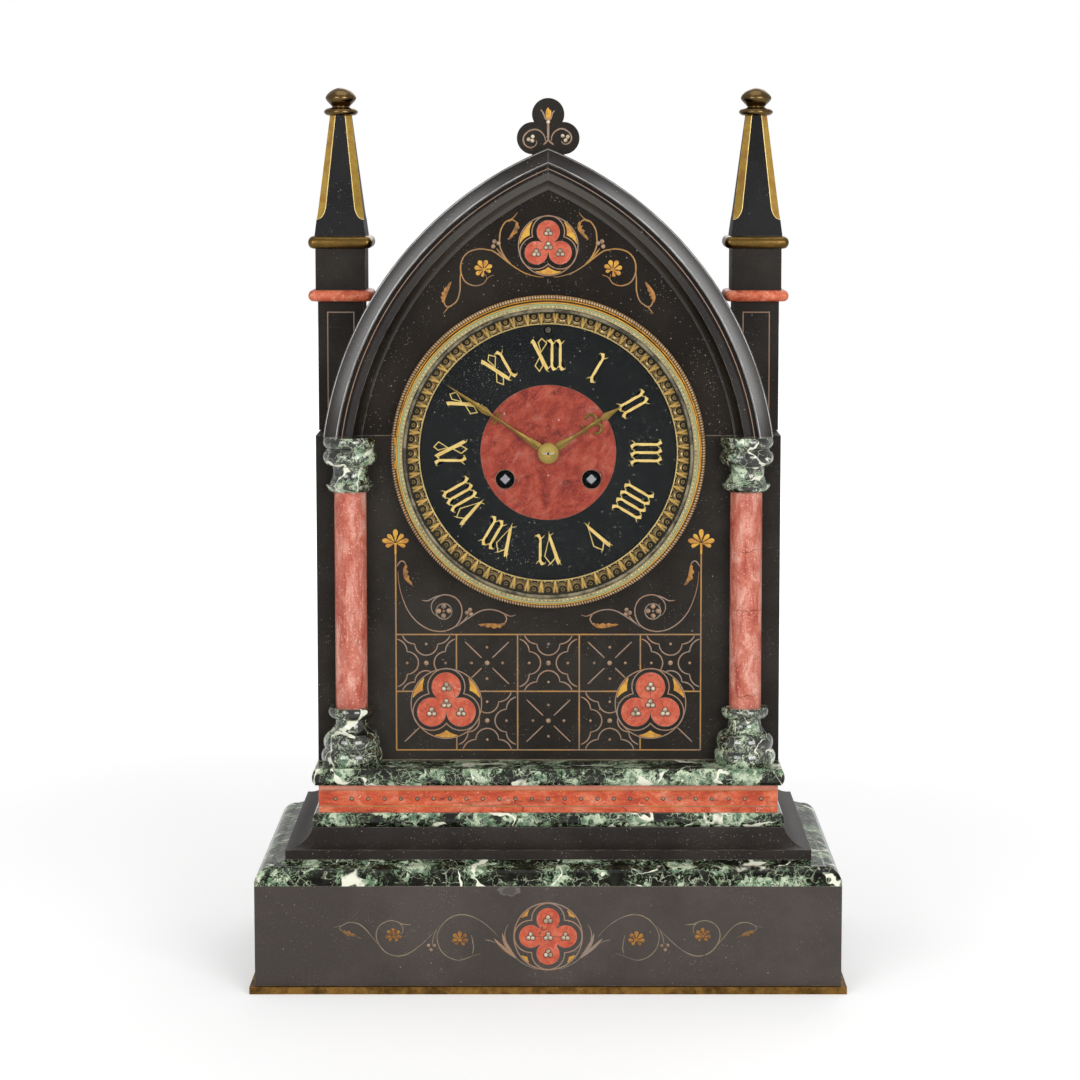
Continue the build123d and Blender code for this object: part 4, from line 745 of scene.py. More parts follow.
class Relief:
    """Thin work on one upright face, seen from the front."""

    def __init__(self, face):
        self.mesh, self.face = bmesh.new(), face

    def spot(self, x, z, lift):
        return self.mesh.verts.new((x * MM, (self.face - lift) * MM, z * MM))

    def skin(self, rings, closed=False):
        """Joins neighbouring rings of points with faces, and caps the two ends."""
        pairs = list(zip(rings, rings[1:])) + ([(rings[-1], rings[0])] if closed else [])
        for near, far in pairs:
            for i in range(len(near)):
                j = (i + 1) % len(near)
                self.mesh.faces.new((near[i], near[j], far[j], far[i]))
        if not closed:
            self.mesh.faces.new(rings[0])
            self.mesh.faces.new(rings[-1])

    def stroke(self, points, width=0.9, tips=(0.45, 0.45), closed=False, curve=True, lift=RIDGE):
        path = smooth(points, closed) if curve else list(points)
        count, rings = len(path), []
        for at, (x, z) in enumerate(path):
            before = path[at - 1] if closed or at else path[0]
            after = path[(at + 1) % count] if closed or at < count - 1 else path[-1]
            into, out = Vector((x - before[0], z - before[1])), Vector((after[0] - x, after[1] - z))
            into, out = (into if into.length else out).normalized(), (out if out.length else into).normalized()
            along = (into + out).normalized()
            corner = max(0.5, along.dot(out))
            share = at / max(1, count - 1)
            swell = 1.0 if closed else min(
                1.0, tips[0] + (1 - tips[0]) * 4 * share, tips[1] + (1 - tips[1]) * 4 * (1 - share))
            half = width / 2 * swell / corner
            side = (-along.y * half, along.x * half)
            profile = ((-1, -SUNK), (-1, 0.2 * lift), (0, lift), (1, 0.2 * lift), (1, -SUNK))
            rings.append([self.spot(x + side[0] * way, z + side[1] * way, up) for way, up in profile])
        self.skin(rings, closed)

    def dot(self, x, z, radius, lift=0.0, sides=14):
        lift = lift or 0.55 * radius
        levels = ((1, -SUNK), (1, 0.15 * lift), (0.86, 0.55 * lift), (0.55, 0.86 * lift), (0.15, lift))
        turns = [2 * math.pi * side / sides for side in range(sides)]
        self.skin([[self.spot(x + radius * out * math.cos(turn), z + radius * out * math.sin(turn), up)
                    for turn in turns] for out, up in levels])

    def fill(self, outline, lift=0.1, crown=0.1, curve=False):
        """A leaf: its outline stands a little proud, and its middle swells."""
        edge = smooth(outline, True, 3) if curve else list(outline)
        middle = [sum(part) / len(edge) for part in zip(*edge)]
        inner = [tuple(m + 0.6 * (p - m) for p, m in zip(point, middle)) for point in edge]
        self.skin([[self.spot(*point, up) for point in loop]
                   for loop, up in ((edge, -SUNK), (edge, lift), (inner, lift + crown))])

    def ring(self, centre, radius, width=0.9):
        self.stroke(arc(centre, radius, 0, 360, 72)[:-1], width, closed=True, curve=False)

    def piece(self, name, finish, body="case", slot=None):
        bmesh.ops.recalc_face_normals(self.mesh, faces=self.mesh.faces[:])
        mesh = bpy.data.meshes.new(name)
        self.mesh.to_mesh(mesh)
        self.mesh.free()
        return mount(name, mesh, finish, body)


print("burin ready, lines", RIDGE, "mm proud")

# %% [markdown]
# Trefoils and the quatrefoil share one plan: red lobes in the CAD, then an engraved line that follows the lobes,
# a ring round it, gilt in the corners between ring and line, and little groups of three pearls on the red. One
# function draws all of them from the number of lobes, their distance from the middle and their radius.

# %% Foils
PEARL_GROUP = ((0, 1.1), (-1.12, -0.8), (1.12, -0.8))
FOIL_LINE = 0.6


def foil_line(centre, count, offset, radius):
    """The line round a group of lobes, one of them upright."""
    half = math.pi / count
    cusp = offset * math.cos(half) + math.sqrt(radius ** 2 - (offset * math.sin(half)) ** 2)
    reach = math.degrees(math.atan2(cusp * math.sin(half), cusp * math.cos(half) - offset))
    points = []
    for lobe in range(count):
        turn = 90 + 360 * lobe / count
        heart = arc(centre, offset, turn, turn, 1)[0]
        points += arc(heart, radius, turn - reach, turn + reach, 20)[:-1]
    return points


def corner_gilt(centre, count, offset, radius, ring, lobe):
    """The gilt between the ring and the line, where two lobes meet."""
    half = 180 / count
    toward = 90 + 360 * lobe / count + half
    inner, outer = [], []
    for step in range(-24, 25):
        angle = half * step / 25
        lean = math.radians(half - abs(angle))
        near = offset * math.cos(lean) + math.sqrt(radius ** 2 - (offset * math.sin(lean)) ** 2)
        if near < ring - 0.15:
            inner.append(arc(centre, near, toward + angle, toward + angle, 1)[0])
            outer.append(arc(centre, ring, toward + angle, toward + angle, 1)[0])
    return outer + inner[::-1]


def foil(name, face, centre, count, offset, line, ring, gap, pearl_size):
    """One foil: line and ring are radii, and gap lies between the line and the gilt."""
    lines, gilt, pearls, cuts = Relief(face), Relief(face), Relief(face), Relief(face)
    lines.stroke(foil_line(centre, count, offset, line), FOIL_LINE, closed=True, curve=False)
    lines.ring(centre, ring, FOIL_LINE)
    hearts = [centre]
    for lobe in range(count):
        gilt.fill(corner_gilt(centre, count, offset, line + gap, ring - 0.5, lobe), crown=0.0)
        turn = 90 + 360 * lobe / count
        hearts.append(arc(centre, offset, turn, turn, 1)[0])
        near, far = [arc(centre, reach, turn, turn, 1)[0] for reach in (2.2, offset - 1.6)]
        cuts.stroke([near, far], 0.35, lift=0.05)
    for x, z in hearts:
        for across, up in PEARL_GROUP:
            pearls.dot(x + pearl_size * across, z + pearl_size * up, 1.08 * pearl_size, 0.7)
            cuts.dot(x + pearl_size * across, z + pearl_size * up, 1.4 * pearl_size, 0.12)
    lines.piece(name + "_lines", line_copper)
    gilt.piece(name + "_gilt", leaf_gold)
    pearls.piece(name + "_pearls", pearl)
    cuts.piece(name + "_cuts", dark_cut)


print("foil plan ready")

# %% Four foils
PANEL_FACE, BASE_FACE = -26.5, -79.0
PANEL_FOIL_X, PANEL_FOIL_Z, PANEL_FOIL_RING = 54.7, 143.6, 18.9
TYMPANUM_FOIL, BASE_FOIL = (0.0, 388.5), (0.0, 30.2)
SIDE_WORDS = ((-1, "left"), (1, "right"))
for side, word in SIDE_WORDS:
    panel_foil = (side * PANEL_FOIL_X, PANEL_FOIL_Z)
    foil("panel_trefoil_" + word, PANEL_FACE, panel_foil, 3, 9.1, 10.0, PANEL_FOIL_RING, 2.6, 1.15)
foil("tympanum_trefoil", PANEL_FACE, TYMPANUM_FOIL, 3, 7.3, 8.6, 15.7, 1.2, 1.0)
foil("base_quatrefoil", BASE_FACE, BASE_FOIL, 4, 9.1, 8.6, 17.9, 2.4, 1.05)
print("four foils drawn")

# %% [markdown]
# Below the dial the panel is ruled into ten cells. Ruling is the oldest engraver's pattern: straight lines first,
# then in turn a cell of four scalloped corners and a cell with a diagonal cross, with drilled dots between. The
# two trefoils lie over the grid, so every line is cut into short steps and only the steps outside the rings stay.

# %% The rules of the panel
RULED_X, RULED_Z = (-81.5, -49.2, -16.5, 16.5, 49.2, 81.5), (118.4, 150.3, 181.1)
RULE_WIDTH = 0.75
PALMETTE_Z = 231.7


def clear_of_foils(points, step=0.7):
    """Splits a line into the runs that lie outside the trefoil rings."""
    runs, run = [], []
    for (x0, z0), (x1, z1) in zip(points, points[1:]):
        pieces = max(1, round(math.hypot(x1 - x0, z1 - z0) / step))
        for part in range(pieces + 1):
            x, z = x0 + (x1 - x0) * part / pieces, z0 + (z1 - z0) * part / pieces
            if math.hypot(abs(x) - PANEL_FOIL_X, z - PANEL_FOIL_Z) > PANEL_FOIL_RING:
                if not run or math.hypot(x - run[-1][0], z - run[-1][1]) > 0.05:
                    run.append((x, z))
            elif run:
                runs, run = runs + [run], []
    return [run for run in runs + [run] if len(run) > 1]


rules = Relief(PANEL_FACE)
for z in RULED_Z:
    for run in clear_of_foils([(RULED_X[0], z), (RULED_X[-1], z)]):
        rules.stroke([run[0], run[-1]], RULE_WIDTH, (1, 1), curve=False)
for x in RULED_X:
    top = PALMETTE_Z - 3 if x in (RULED_X[0], RULED_X[-1]) else RULED_Z[-1]
    for run in clear_of_foils([(x, RULED_Z[0]), (x, top)]):
        rules.stroke([run[0], run[-1]], RULE_WIDTH, (1, 1), curve=False)
rules.piece("panel_rules", line_gold)

# %% The cells of the panel
CELL_WIDTH = 0.68
SMALL_DOT, MIDDLE_DOT = 0.8, 1.35
SCALLOP_UP, SCALLOP_RADIUS = 10.3, 6.1
SHOULDER_AT, SHOULDER_RADIUS, SHOULDER_TURN = (6.2, 17.2), 6.9, 75
CROSS_NEAR, CROSS_FAR, CROSS_DOTS = (2.9, 2.8), (11.7, 11.4), (8.3, 8.5)
cell_lines, cell_dots = Relief(PANEL_FACE), Relief(PANEL_FACE)


def cell_stroke(points):
    for run in clear_of_foils(points):
        cell_lines.stroke(run, CELL_WIDTH, (0.8, 0.8), curve=False)


def cell_dot(x, z, radius):
    if math.hypot(abs(x) - PANEL_FOIL_X, z - PANEL_FOIL_Z) > PANEL_FOIL_RING + radius:
        cell_dots.dot(x, z, radius, 0.5)


def scalloped_cell(middle, half):
    """Four corners with a scallop between each two, the same drawing turned four times."""
    for turn in range(4):
        def turned(points):
            for _ in range(turn):
                points = [(-z, x) for x, z in points]
            return [(middle[0] + x, middle[1] + z) for x, z in points]
        depth = half[0] if turn % 2 else half[1]
        for way in SIDES:
            shoulder_at = (way * SHOULDER_AT[0], SHOULDER_AT[1])
            shoulder = arc(shoulder_at, SHOULDER_RADIUS, 270, 270 + way * SHOULDER_TURN, 14)
            cell_stroke(turned([point for point in shoulder if point[1] < depth]))
        cell_stroke(turned(arc((0, SCALLOP_UP), SCALLOP_RADIUS, 180, 360)))
        cell_dot(*turned([(0, SCALLOP_UP)])[0], SMALL_DOT)
    cell_dot(*middle, MIDDLE_DOT)


def crossed_cell(middle, outer=0):
    """A diagonal cross with dots. In an outer corner, which a trefoil covers, only one arm of it shows."""
    def arm(across, up):
        cell_stroke([(middle[0] + across * x, middle[1] + up * z) for x, z in (CROSS_NEAR, CROSS_FAR)])

    if outer:
        arm(outer, -1)
        return
    for across in SIDES:
        for up in SIDES:
            arm(across, up)
        cell_dot(middle[0] + across * CROSS_DOTS[0], middle[1], SMALL_DOT)
        cell_dot(middle[0], middle[1] + across * CROSS_DOTS[1], SMALL_DOT)
    cell_dot(*middle, MIDDLE_DOT)


for column, (left, right) in enumerate(zip(RULED_X, RULED_X[1:])):
    for row, (low, high) in enumerate(zip(RULED_Z, RULED_Z[1:])):
        cell_middle = ((left + right) / 2, (low + high) / 2)
        if (column + row) % 2:
            scalloped_cell(cell_middle, ((right - left) / 2, (high - low) / 2))
        else:
            crossed_cell(cell_middle, (column // 2 - 1) if row == 0 and column in (0, 4) else 0)
cell_lines.piece("panel_cell_lines", line_copper)
cell_dots.piece("panel_cell_dots", stud)

# %% [markdown]
# Vine scrolls fill the spaces below the dial, in the point of the arch and along the base. They are the common
# scrolls of any engraver's book: a stem that swells and thins, a flower in each turn, berries and a curled leaf.
# One half is drawn, as points from the middle line outwards, and flipped for the other half.

# %% Petals and leaves
PETAL = ((0.12, 0.0), (0.4, 0.5), (0.7, 1.0), (0.9, 0.8), (1.0, 0.0), (0.9, -0.8), (0.7, -1.0), (0.4, -0.5))


def petal(relief, x, z, turn, long, wide):
    """One plump petal from a heart at x, z, with its half width as a share of its length."""
    along = (math.cos(math.radians(turn)), math.sin(math.radians(turn)))
    outline = [(x + long * (out * along[0] - wide * half * along[1]),
                z + long * (out * along[1] + wide * half * along[0])) for out, half in PETAL]
    relief.fill(outline, 0.08, 0.16, True)


FAN = ((0, 1.0), (46, 0.95), (-46, 0.95), (92, 0.9), (-92, 0.9), (138, 0.72), (-138, 0.72))


def flower(relief, x, z, radius, axis=90.0, wide=0.23):
    """A fan of seven petals, open towards its stem."""
    for turn, share in FAN:
        petal(relief, x, z, axis + turn, radius * share, wide)
    relief.dot(x, z, 0.16 * radius, 0.3)


def leaf(relief, points, width, serrated=0):
    """A curled leaf along its midrib, fat in the middle, with teeth on one side if asked."""
    path = smooth(points)
    left, right = [], []
    for at, (x, z) in enumerate(path):
        share = at / (len(path) - 1)
        ahead, behind = path[min(at + 1, len(path) - 1)], path[max(at - 1, 0)]
        along = Vector((ahead[0] - behind[0], ahead[1] - behind[1])).normalized()
        half = width / 2 * math.sin(math.pi * min(1, share * 1.02)) ** 0.75 + 0.06
        tooth = 0.35 + 0.9 * abs(math.sin(math.pi * share * serrated)) if serrated else 1.0
        left.append((x - along.y * half * tooth, z + along.x * half * tooth))
        right.append((x + along.y * half, z - along.x * half))
    rings = [[relief.spot(*a, -SUNK), relief.spot(*a, 0.07), relief.spot((a[0] + b[0]) / 2, (a[1] + b[1]) / 2, 0.22),
              relief.spot(*b, 0.07), relief.spot(*b, -SUNK)] for a, b in zip(left, right)]
    relief.skin(rings)


print("flowers of", len(FAN), "petals")

# %% Scroll work


def scroll_work(name, face, stems, leaves, flowers, berries, width, line,
                turn=90.0, bloom=flower_gold, foliage=leaf_bronze):
    """A pair of scrolls, from the points of one half. The middle petal of a flower points to turn degrees."""
    lines, gold, blooms, pearls = Relief(face), Relief(face), Relief(face), Relief(face)
    for side in SIDES:
        for stem in stems:
            lines.stroke(flip(stem, side), width)
        for points, wide, teeth in leaves:
            leaf(gold, flip(points, side), wide, teeth)
        for x, z, radius in flowers:
            flower(blooms, side * x, z, radius, turn if side > 0 else 180 - turn)
        for x, z, radius in berries:
            pearls.dot(side * x, z, radius, 0.5)
    lines.piece(name + "_stems", line)
    gold.piece(name + "_leaves", foliage)
    if flowers:
        blooms.piece(name + "_flowers", bloom)
    pearls.piece(name + "_berries", stud)


print("scroll work ready")

# %% Scrolls in the arch
TYMPANUM_STEMS = (
    ((11.1, 373.1), (17.9, 377.4), (21.3, 380.4), (24.3, 385.1), (25.6, 389.4), (25.2, 396.2), (22.6, 400.9),
     (18.8, 403.0), (16.2, 406.0)),
    ((2.6, 372.1), (6.0, 372.3), (12.8, 374.4), (19.2, 378.3), (28.1, 385.1), (32.0, 386.4), (36.7, 386.8),
     (42.2, 385.1), (45.6, 380.8), (46.2, 374.9), (43.9, 369.7), (39.2, 367.5), (34.5, 368.5), (31.6, 371.9),
     (28.6, 373.1)),
    ((45.9, 378.3), (46.5, 371.4), (46.7, 364.6), (48.6, 359.1), (52.9, 355.9), (55.4, 352.7)),
    ((51.0, 356.6), (54.0, 356.6), (55.4, 359.5)),
    ((21.3, 401.1), (19.0, 402.2), (17.0, 401.0)),
    ((27.3, 387.2), (23.9, 383.0), (19.6, 379.1)),
    ((32.4, 370.6), (33.0, 373.4)),
)
TYMPANUM_LEAVES = (
    (((16.8, 401.4), (16.4, 398.7), (17.9, 395.6), (21.3, 391.5)), 2.3, 4),
    (((55.5, 358.4), (55.4, 361.5), (54.0, 364.9), (51.2, 369.7)), 2.7, 5),
)
TYMPANUM_BERRIES = tuple((x, z, 1.2) for x, z in ((28.4, 390.8), (26.2, 389.9), (29.0, 388.2)))
scroll_work("tympanum_scroll", PANEL_FACE, TYMPANUM_STEMS, TYMPANUM_LEAVES, ((34.0, 376.0, 5.4),),
            TYMPANUM_BERRIES, 0.7, line_gold, 60.0, leaf_gold)

# %% [markdown]
# The scrolls below the dial curl round a rosette of five dots in a thin ring. Two palmettes stand on the outer rules
# beside the dial. They are drawn with the same petals as the flowers, only slimmer and spread as a fan.

# %% Scrolls below the dial
PANEL_STEMS = (
    ((80.3, 215.1), (79.7, 208.1), (78.0, 201.2), (75.1, 194.2), (70.7, 188.4), (64.9, 184.3), (59.1, 182.8),
     (53.9, 183.4), (49.2, 186.0), (46.6, 190.7), (46.3, 195.3), (48.0, 199.4), (51.5, 201.9), (56.2, 202.5),
     (60.1, 200.7), (62.3, 197.7), (62.3, 194.2), (60.8, 191.9), (58.5, 190.6)),
    ((57.3, 202.4), (60.8, 201.2), (64.3, 199.4), (67.5, 199.6)),
    ((42.7, 191.6), (45.1, 188.7), (47.8, 186.3)),
    ((49.2, 185.2), (45.7, 187.8), (41.1, 191.0), (36.4, 193.7), (31.8, 194.6), (27.1, 193.9), (23.0, 192.0),
     (20.1, 191.0), (17.5, 191.7)),
    ((23.6, 192.1), (22.3, 189.5), (23.6, 186.6)),
    ((80.9, 217.6), (79.1, 220.3), (77.4, 220.6), (75.9, 218.8)),
)
PANEL_LEAVES = (
    (((23.2, 187.2), (26.5, 185.8), (31.8, 186.0), (37.6, 186.5)), 2.4, 5),
    (((76.0, 219.0), (76.3, 215.4), (75.4, 211.4), (72.5, 207.6)), 2.6, 4),
)
PANEL_BERRIES = tuple((x, z, 1.15) for x, z in ((41.8, 194.5), (43.5, 192.9), (41.3, 192.1)))
scroll_work("panel_scroll", PANEL_FACE, PANEL_STEMS, PANEL_LEAVES, (), PANEL_BERRIES, 0.65, line_copper)

# %% Rosettes and palmettes
ROSETTE_RING, ROSETTE_RADIUS, ROSETTE_HEART = (55.8, 193.6), 4.2, (55.9, 193.8)
ROSETTE_DOTS = ((55.9, 196.3), (58.6, 193.8), (53.2, 193.9), (56.0, 191.2))
rosettes, rosette_rings = Relief(PANEL_FACE), Relief(PANEL_FACE)
for side in SIDES:
    rosette_rings.ring((side * ROSETTE_RING[0], ROSETTE_RING[1]), ROSETTE_RADIUS, 0.6)
    for x, z in ROSETTE_DOTS:
        rosettes.dot(side * x, z, 1.35, 0.55)
    rosettes.dot(side * ROSETTE_HEART[0], ROSETTE_HEART[1], 0.8, 0.7)
rosettes.piece("panel_rosettes", stud)
rosette_rings.piece("panel_rosette_rings", line_worn)

PALMETTE_FAN = ((90, 7.4), (48, 6.2), (132, 6.2), (12, 7.2), (168, 7.2), (-20, 5.6), (200, 5.6))
palmettes = Relief(PANEL_FACE)
for side in SIDES:
    heart = (side * RULED_X[-1], PALMETTE_Z - 1.2)
    for turn, long in PALMETTE_FAN:
        petal(palmettes, *heart, turn, long, 0.18)
    palmettes.stroke([(heart[0], heart[1] - 6), heart], 1.3, (0.7, 1))
palmettes.piece("panel_palmettes", leaf_gold)

# %% [markdown]
# The longest scrolls run along the base, from the quatrefoil outwards. Their lines are the most rubbed and their
# leaves the dullest, because the base is wiped most often. Two slim blades grow at the root of each scroll.

# %% Scrolls along the base
BASE_STEMS = (
    ((5.8, 12.5), (11.5, 14.9), (15.9, 17.9), (18.7, 21.5)),
    ((18.1, 20.7), (19.9, 23.9), (22.2, 27.9), (22.5, 32.8), (20.7, 36.8)),
    ((27.2, 26.7), (30.0, 27.9), (32.8, 28.3)),
    ((26.0, 30.0), (28.8, 33.2), (32.8, 36.8), (37.7, 39.9), (42.1, 41.5), (46.1, 41.8), (49.9, 40.8), (53.6, 38.3),
     (56.5, 34.6), (58.0, 30.5), (57.5, 26.3), (55.7, 22.3), (52.0, 19.1), (47.3, 17.5), (43.1, 18.3), (39.3, 19.9),
     (35.6, 20.9)),
    ((39.6, 20.7), (39.0, 23.9), (39.3, 27.1), (40.1, 31.0)),
    ((56.5, 35.8), (60.1, 32.0), (64.1, 27.9), (68.3, 24.2), (72.3, 21.5), (76.4, 19.9), (80.4, 19.9), (84.4, 21.5),
     (87.3, 24.3), (89.3, 27.9), (89.8, 31.2), (89.0, 34.4), (86.9, 36.8), (84.0, 38.3), (81.0, 38.6), (78.0, 37.6),
     (76.0, 35.2), (75.9, 32.9), (76.7, 31.3)),
    ((81.0, 38.6), (78.4, 37.9), (76.0, 36.8), (71.5, 36.4)),
    ((60.5, 25.9), (59.8, 30.2), (57.8, 34.6)),
    ((88.8, 26.2), (91.7, 29.6), (94.9, 33.6), (98.1, 36.4), (101.4, 37.6), (104.6, 37.5), (107.8, 36.0),
     (111.9, 35.0)),
    ((107.8, 36.0), (108.8, 34.6), (107.8, 33.1)),
    ((101.0, 30.7), (97.7, 29.2)),
)
BASE_LEAVES = (
    (((107.9, 33.1), (105.4, 32.2), (103.0, 31.3), (100.6, 30.5)), 2.4, 3),
)
BASE_BLADES = (
    (((16.6, 18.6), (20.0, 22.6), (22.6, 27.0), (24.0, 32.0)), 1.7),
    (((16.4, 18.3), (20.9, 21.9), (25.2, 25.7), (28.4, 29.2)), 1.5),
)
BASE_BERRIES = tuple((x, z, 0.95) for x, z in ((62.5, 25.4), (59.4, 25.4), (61.2, 23.1)))
BASE_FLOWERS = ((46.1, 28.2, 4.9), (80.8, 30.2, 4.6))
scroll_work("base_scroll", BASE_FACE, BASE_STEMS, BASE_LEAVES, BASE_FLOWERS, BASE_BERRIES, 0.5, line_worn,
            foliage=leaf_dull)
base_blades = Relief(BASE_FACE)
for side in SIDES:
    for points, wide in BASE_BLADES:
        leaf(base_blades, flip(points, side), wide)
base_blades.piece("base_scroll_blades", line_copper)

# %% [markdown]
# A tulip stands on the crest between two small scrolls, each with three pearls in its turn. The flower is gilt
# and the stems are copper. The two scrolls on the clock were cut by eye and differ a little, and so do these.

# %% The crest's tulip
CREST_FACE = -26.0
crest_lines, crest_gold, crest_pearls = Relief(CREST_FACE), Relief(CREST_FACE), Relief(CREST_FACE)
for points, wide in (
    (((-3.9, 459.9), (-2.7, 458.2), (-2.0, 456.6), (-1.3, 455.1), (-0.2, 454.2)), 0.8),
    (((3.4, 459.4), (2.2, 457.9), (1.7, 456.3), (1.2, 454.9), (0.3, 454.1)), 0.8),
    (((0.0, 453.7), (0.0, 450.7), (0.0, 447.3), (0.0, 444.0)), 1.2),
    (((0.0, 444.1), (-1.1, 442.8), (-2.5, 441.6)), 0.9),
    (((0.0, 444.1), (1.3, 442.7), (2.9, 441.5)), 0.9),
    (((-1.4, 443.7), (-1.9, 445.8), (-3.1, 447.6), (-4.9, 449.0), (-7.0, 449.5), (-9.4, 449.0), (-11.5, 447.6),
      (-12.8, 445.8), (-13.1, 443.8), (-12.4, 441.7), (-10.8, 440.4), (-9.0, 440.0), (-7.2, 440.7), (-6.1, 442.2),
      (-6.4, 443.7)), 0.8),
    (((1.7, 443.7), (1.9, 445.8), (3.1, 447.9), (4.9, 449.3), (6.9, 449.9), (9.1, 449.3), (11.0, 447.9), (12.1, 446.1),
      (12.1, 444.1), (11.0, 442.5), (9.3, 441.8), (7.7, 442.2), (7.0, 443.5)), 0.8),
):
    crest_lines.stroke(points, wide, (0.6, 0.5))
crest_gold.fill(((0.0, 454.3), (-1.1, 455.8), (-1.4, 457.7), (-1.1, 459.2), (-0.1, 461.0), (0.8, 459.6), (1.5, 459.6),
                 (1.5, 457.7), (1.0, 455.6)), 0.1, 0.15, True)
for x, z in ((-8.1, 445.8), (-10.3, 444.3), (-8.3, 443.6), (7.6, 446.1), (10.3, 445.6), (9.1, 443.8), (0.0, 453.4)):
    crest_pearls.dot(x, z, 1.1, 0.55)
crest_lines.piece("crest_lines", line_copper)
crest_gold.piece("crest_tulip", leaf_gold)
crest_pearls.piece("crest_pearls", pearl)

# %% [markdown]
# The red frieze between the green slabs has two gilt lines and a row of shallow drilled dots, 27 of them, as a
# mason would step them off with dividers. The piers behind carry a plain engraved frame, and a pale line of old
# filler shows where the upper stone of the front sits on the lower one. Dust lies along the foot of the front.

# %% Frieze
FRIEZE_FACE, FRIEZE_HALF, FRIEZE_LINES = -47.5, 121.4, (92.3, 101.1)
FRIEZE_DOTS, FRIEZE_PITCH, FRIEZE_DOT_Z = 27, 8.69, 96.4
frieze_lines, frieze_dots, frieze_rims = Relief(FRIEZE_FACE), Relief(FRIEZE_FACE), Relief(FRIEZE_FACE)
for z in FRIEZE_LINES:
    frieze_lines.stroke([(-FRIEZE_HALF, z), (FRIEZE_HALF, z)], 0.55, (1, 1), lift=0.1)
for count in range(FRIEZE_DOTS):
    x = (count - FRIEZE_DOTS // 2) * FRIEZE_PITCH
    frieze_dots.dot(x, FRIEZE_DOT_Z, 0.85, 0.5)
    frieze_rims.dot(x, FRIEZE_DOT_Z, 1.15, 0.12)
frieze_lines.piece("frieze_lines", line_gold)
frieze_dots.piece("frieze_dots", stud)
frieze_rims.piece("frieze_dot_rims", dark_cut)

# %% Piers and seam
PIER_X, PIER_FACE, PIER_LOW, PIER_HIGH, PIER_FRAME = 112.0, 4.7, 294.0, 351.8, 7.1
pier_lines = Relief(PIER_FACE)
for side in SIDES:
    inner, outer = side * PIER_X - PIER_FRAME, side * PIER_X + PIER_FRAME
    pier_lines.stroke([(inner, PIER_LOW), (outer, PIER_LOW), (outer, PIER_HIGH), (inner, PIER_HIGH)], 0.65,
                      closed=True, curve=False)
pier_lines.piece("pier_lines", line_copper)

SEAM_Z, SEAM_FROM, SEAM_TO = 288.0, 83.4, 92.0
PANEL_FOOT, PANEL_HALF = 113.0, 94.0
seam = Relief(PANEL_FACE)
for side in SIDES:
    seam.stroke(flip([(SEAM_FROM, SEAM_Z), (SEAM_TO, SEAM_Z)], side), 0.45, (1, 1), lift=0.05)
seam.stroke([(-PANEL_HALF, PANEL_FOOT), (PANEL_HALF, PANEL_FOOT)], 0.7, (1, 1), lift=0.15)
seam.piece("springing_seam", dust_line)

# %% [markdown]
# A gilt line runs round the pointed arch, on the flat between the broad outer band and the hollow, and pale strips
# of painted highlight lie along the two arrises of the band. Each half is part of a circle whose middle lies past
# the centre line, so a stroke is two arcs that meet under the crest.

# %% The line round the arch
ARCH_LINES = {"arch_line": (181.6, -36.2, 0.45, line_copper), "arch_arris": (184.5, -37.85, 0.6, arris_highlight),
              "arch_edge": (190.9, -36.5, 0.5, arris_highlight)}
for name, (radius, face, width, finish) in ARCH_LINES.items():
    arch_line = Relief(face)
    start = math.degrees(math.asin((SEAM_Z - ARCH_MIDDLE[1]) / radius))
    end = math.degrees(math.acos(ARCH_MIDDLE[0] / radius))
    half_arch = arc((-ARCH_MIDDLE[0], ARCH_MIDDLE[1]), radius, start, end, 60)
    for side in SIDES:
        arch_line.stroke(flip(half_arch, side), width, (1, 1), curve=False, lift=0.1)
    arch_line.piece(name, finish)

# %% [markdown]
# Dial numerals in the black letter manner are built from pen strokes: a broad stroke with slanted ends for the
# upright, a broad slope with two open kites for the X, and a broad slope with one open kite for the V. Thin flicks
# end the strokes. They are set with their feet to the centre, so each one is drawn upright and turned to its hour.

# %% Pen strokes
ADVANCE = {"I": 4.35, "V": 8.6, "X": 8.3}
UPRIGHT = ((-0.7, -6.2), (0.5, -8.5), (2.5, -7.6), (0.7, -6.1), (0.7, 6.2), (-0.5, 8.5), (-2.5, 7.6), (-0.7, 6.1))
FLICKS = (((-0.6, -6.0), (-1.3, -6.5), (-2.3, -7.7)), ((0.6, 6.0), (1.3, 6.5), (2.3, 7.7)),
          ((-2.4, 7.7), (-2.9, 6.5)), ((2.4, -7.7), (2.9, -6.5)))
SLOPE = ((-4.7, 7.0), (-3.7, 8.5), (-2.7, 7.1), (4.4, -6.9), (3.4, -8.5), (2.6, -7.1))
SLOPE_FLICKS = (((-4.6, 7.2), (-4.8, 5.7)), ((3.6, -8.3), (4.9, -9.0)))
KITES = (((0.9, 8.7), (3.5, 6.2), (0.5, 1.4), (-0.9, 6.5)), ((-0.2, -1.3), (-2.6, -5.8), (-0.3, -8.7), (1.6, -5.6)))
V_BROAD = ((-4.1, 6.6), (-3.1, 8.3), (-2.1, 6.4), (2.1, -6.2), (1.6, -8.5), (0.5, -6.2))
V_KITE = ((1.7, -6.8), (4.1, 3.6), (1.0, 7.6), (-1.6, 4.4))
V_FLICKS = (((1.0, 7.4), (2.4, 8.7)), ((-3.9, 6.9), (-4.9, 8.3)), ((-3.9, 6.8), (-4.3, 5.5)),
            ((1.6, -7.2), (2.0, -9.9)), ((1.2, -7.6), (-0.5, -8.9)))
PEN = {"I": (UPRIGHT, (), FLICKS), "V": (V_BROAD, (V_KITE,), V_FLICKS), "X": (SLOPE, KITES, SLOPE_FLICKS)}
print("pen strokes for", ", ".join(PEN))

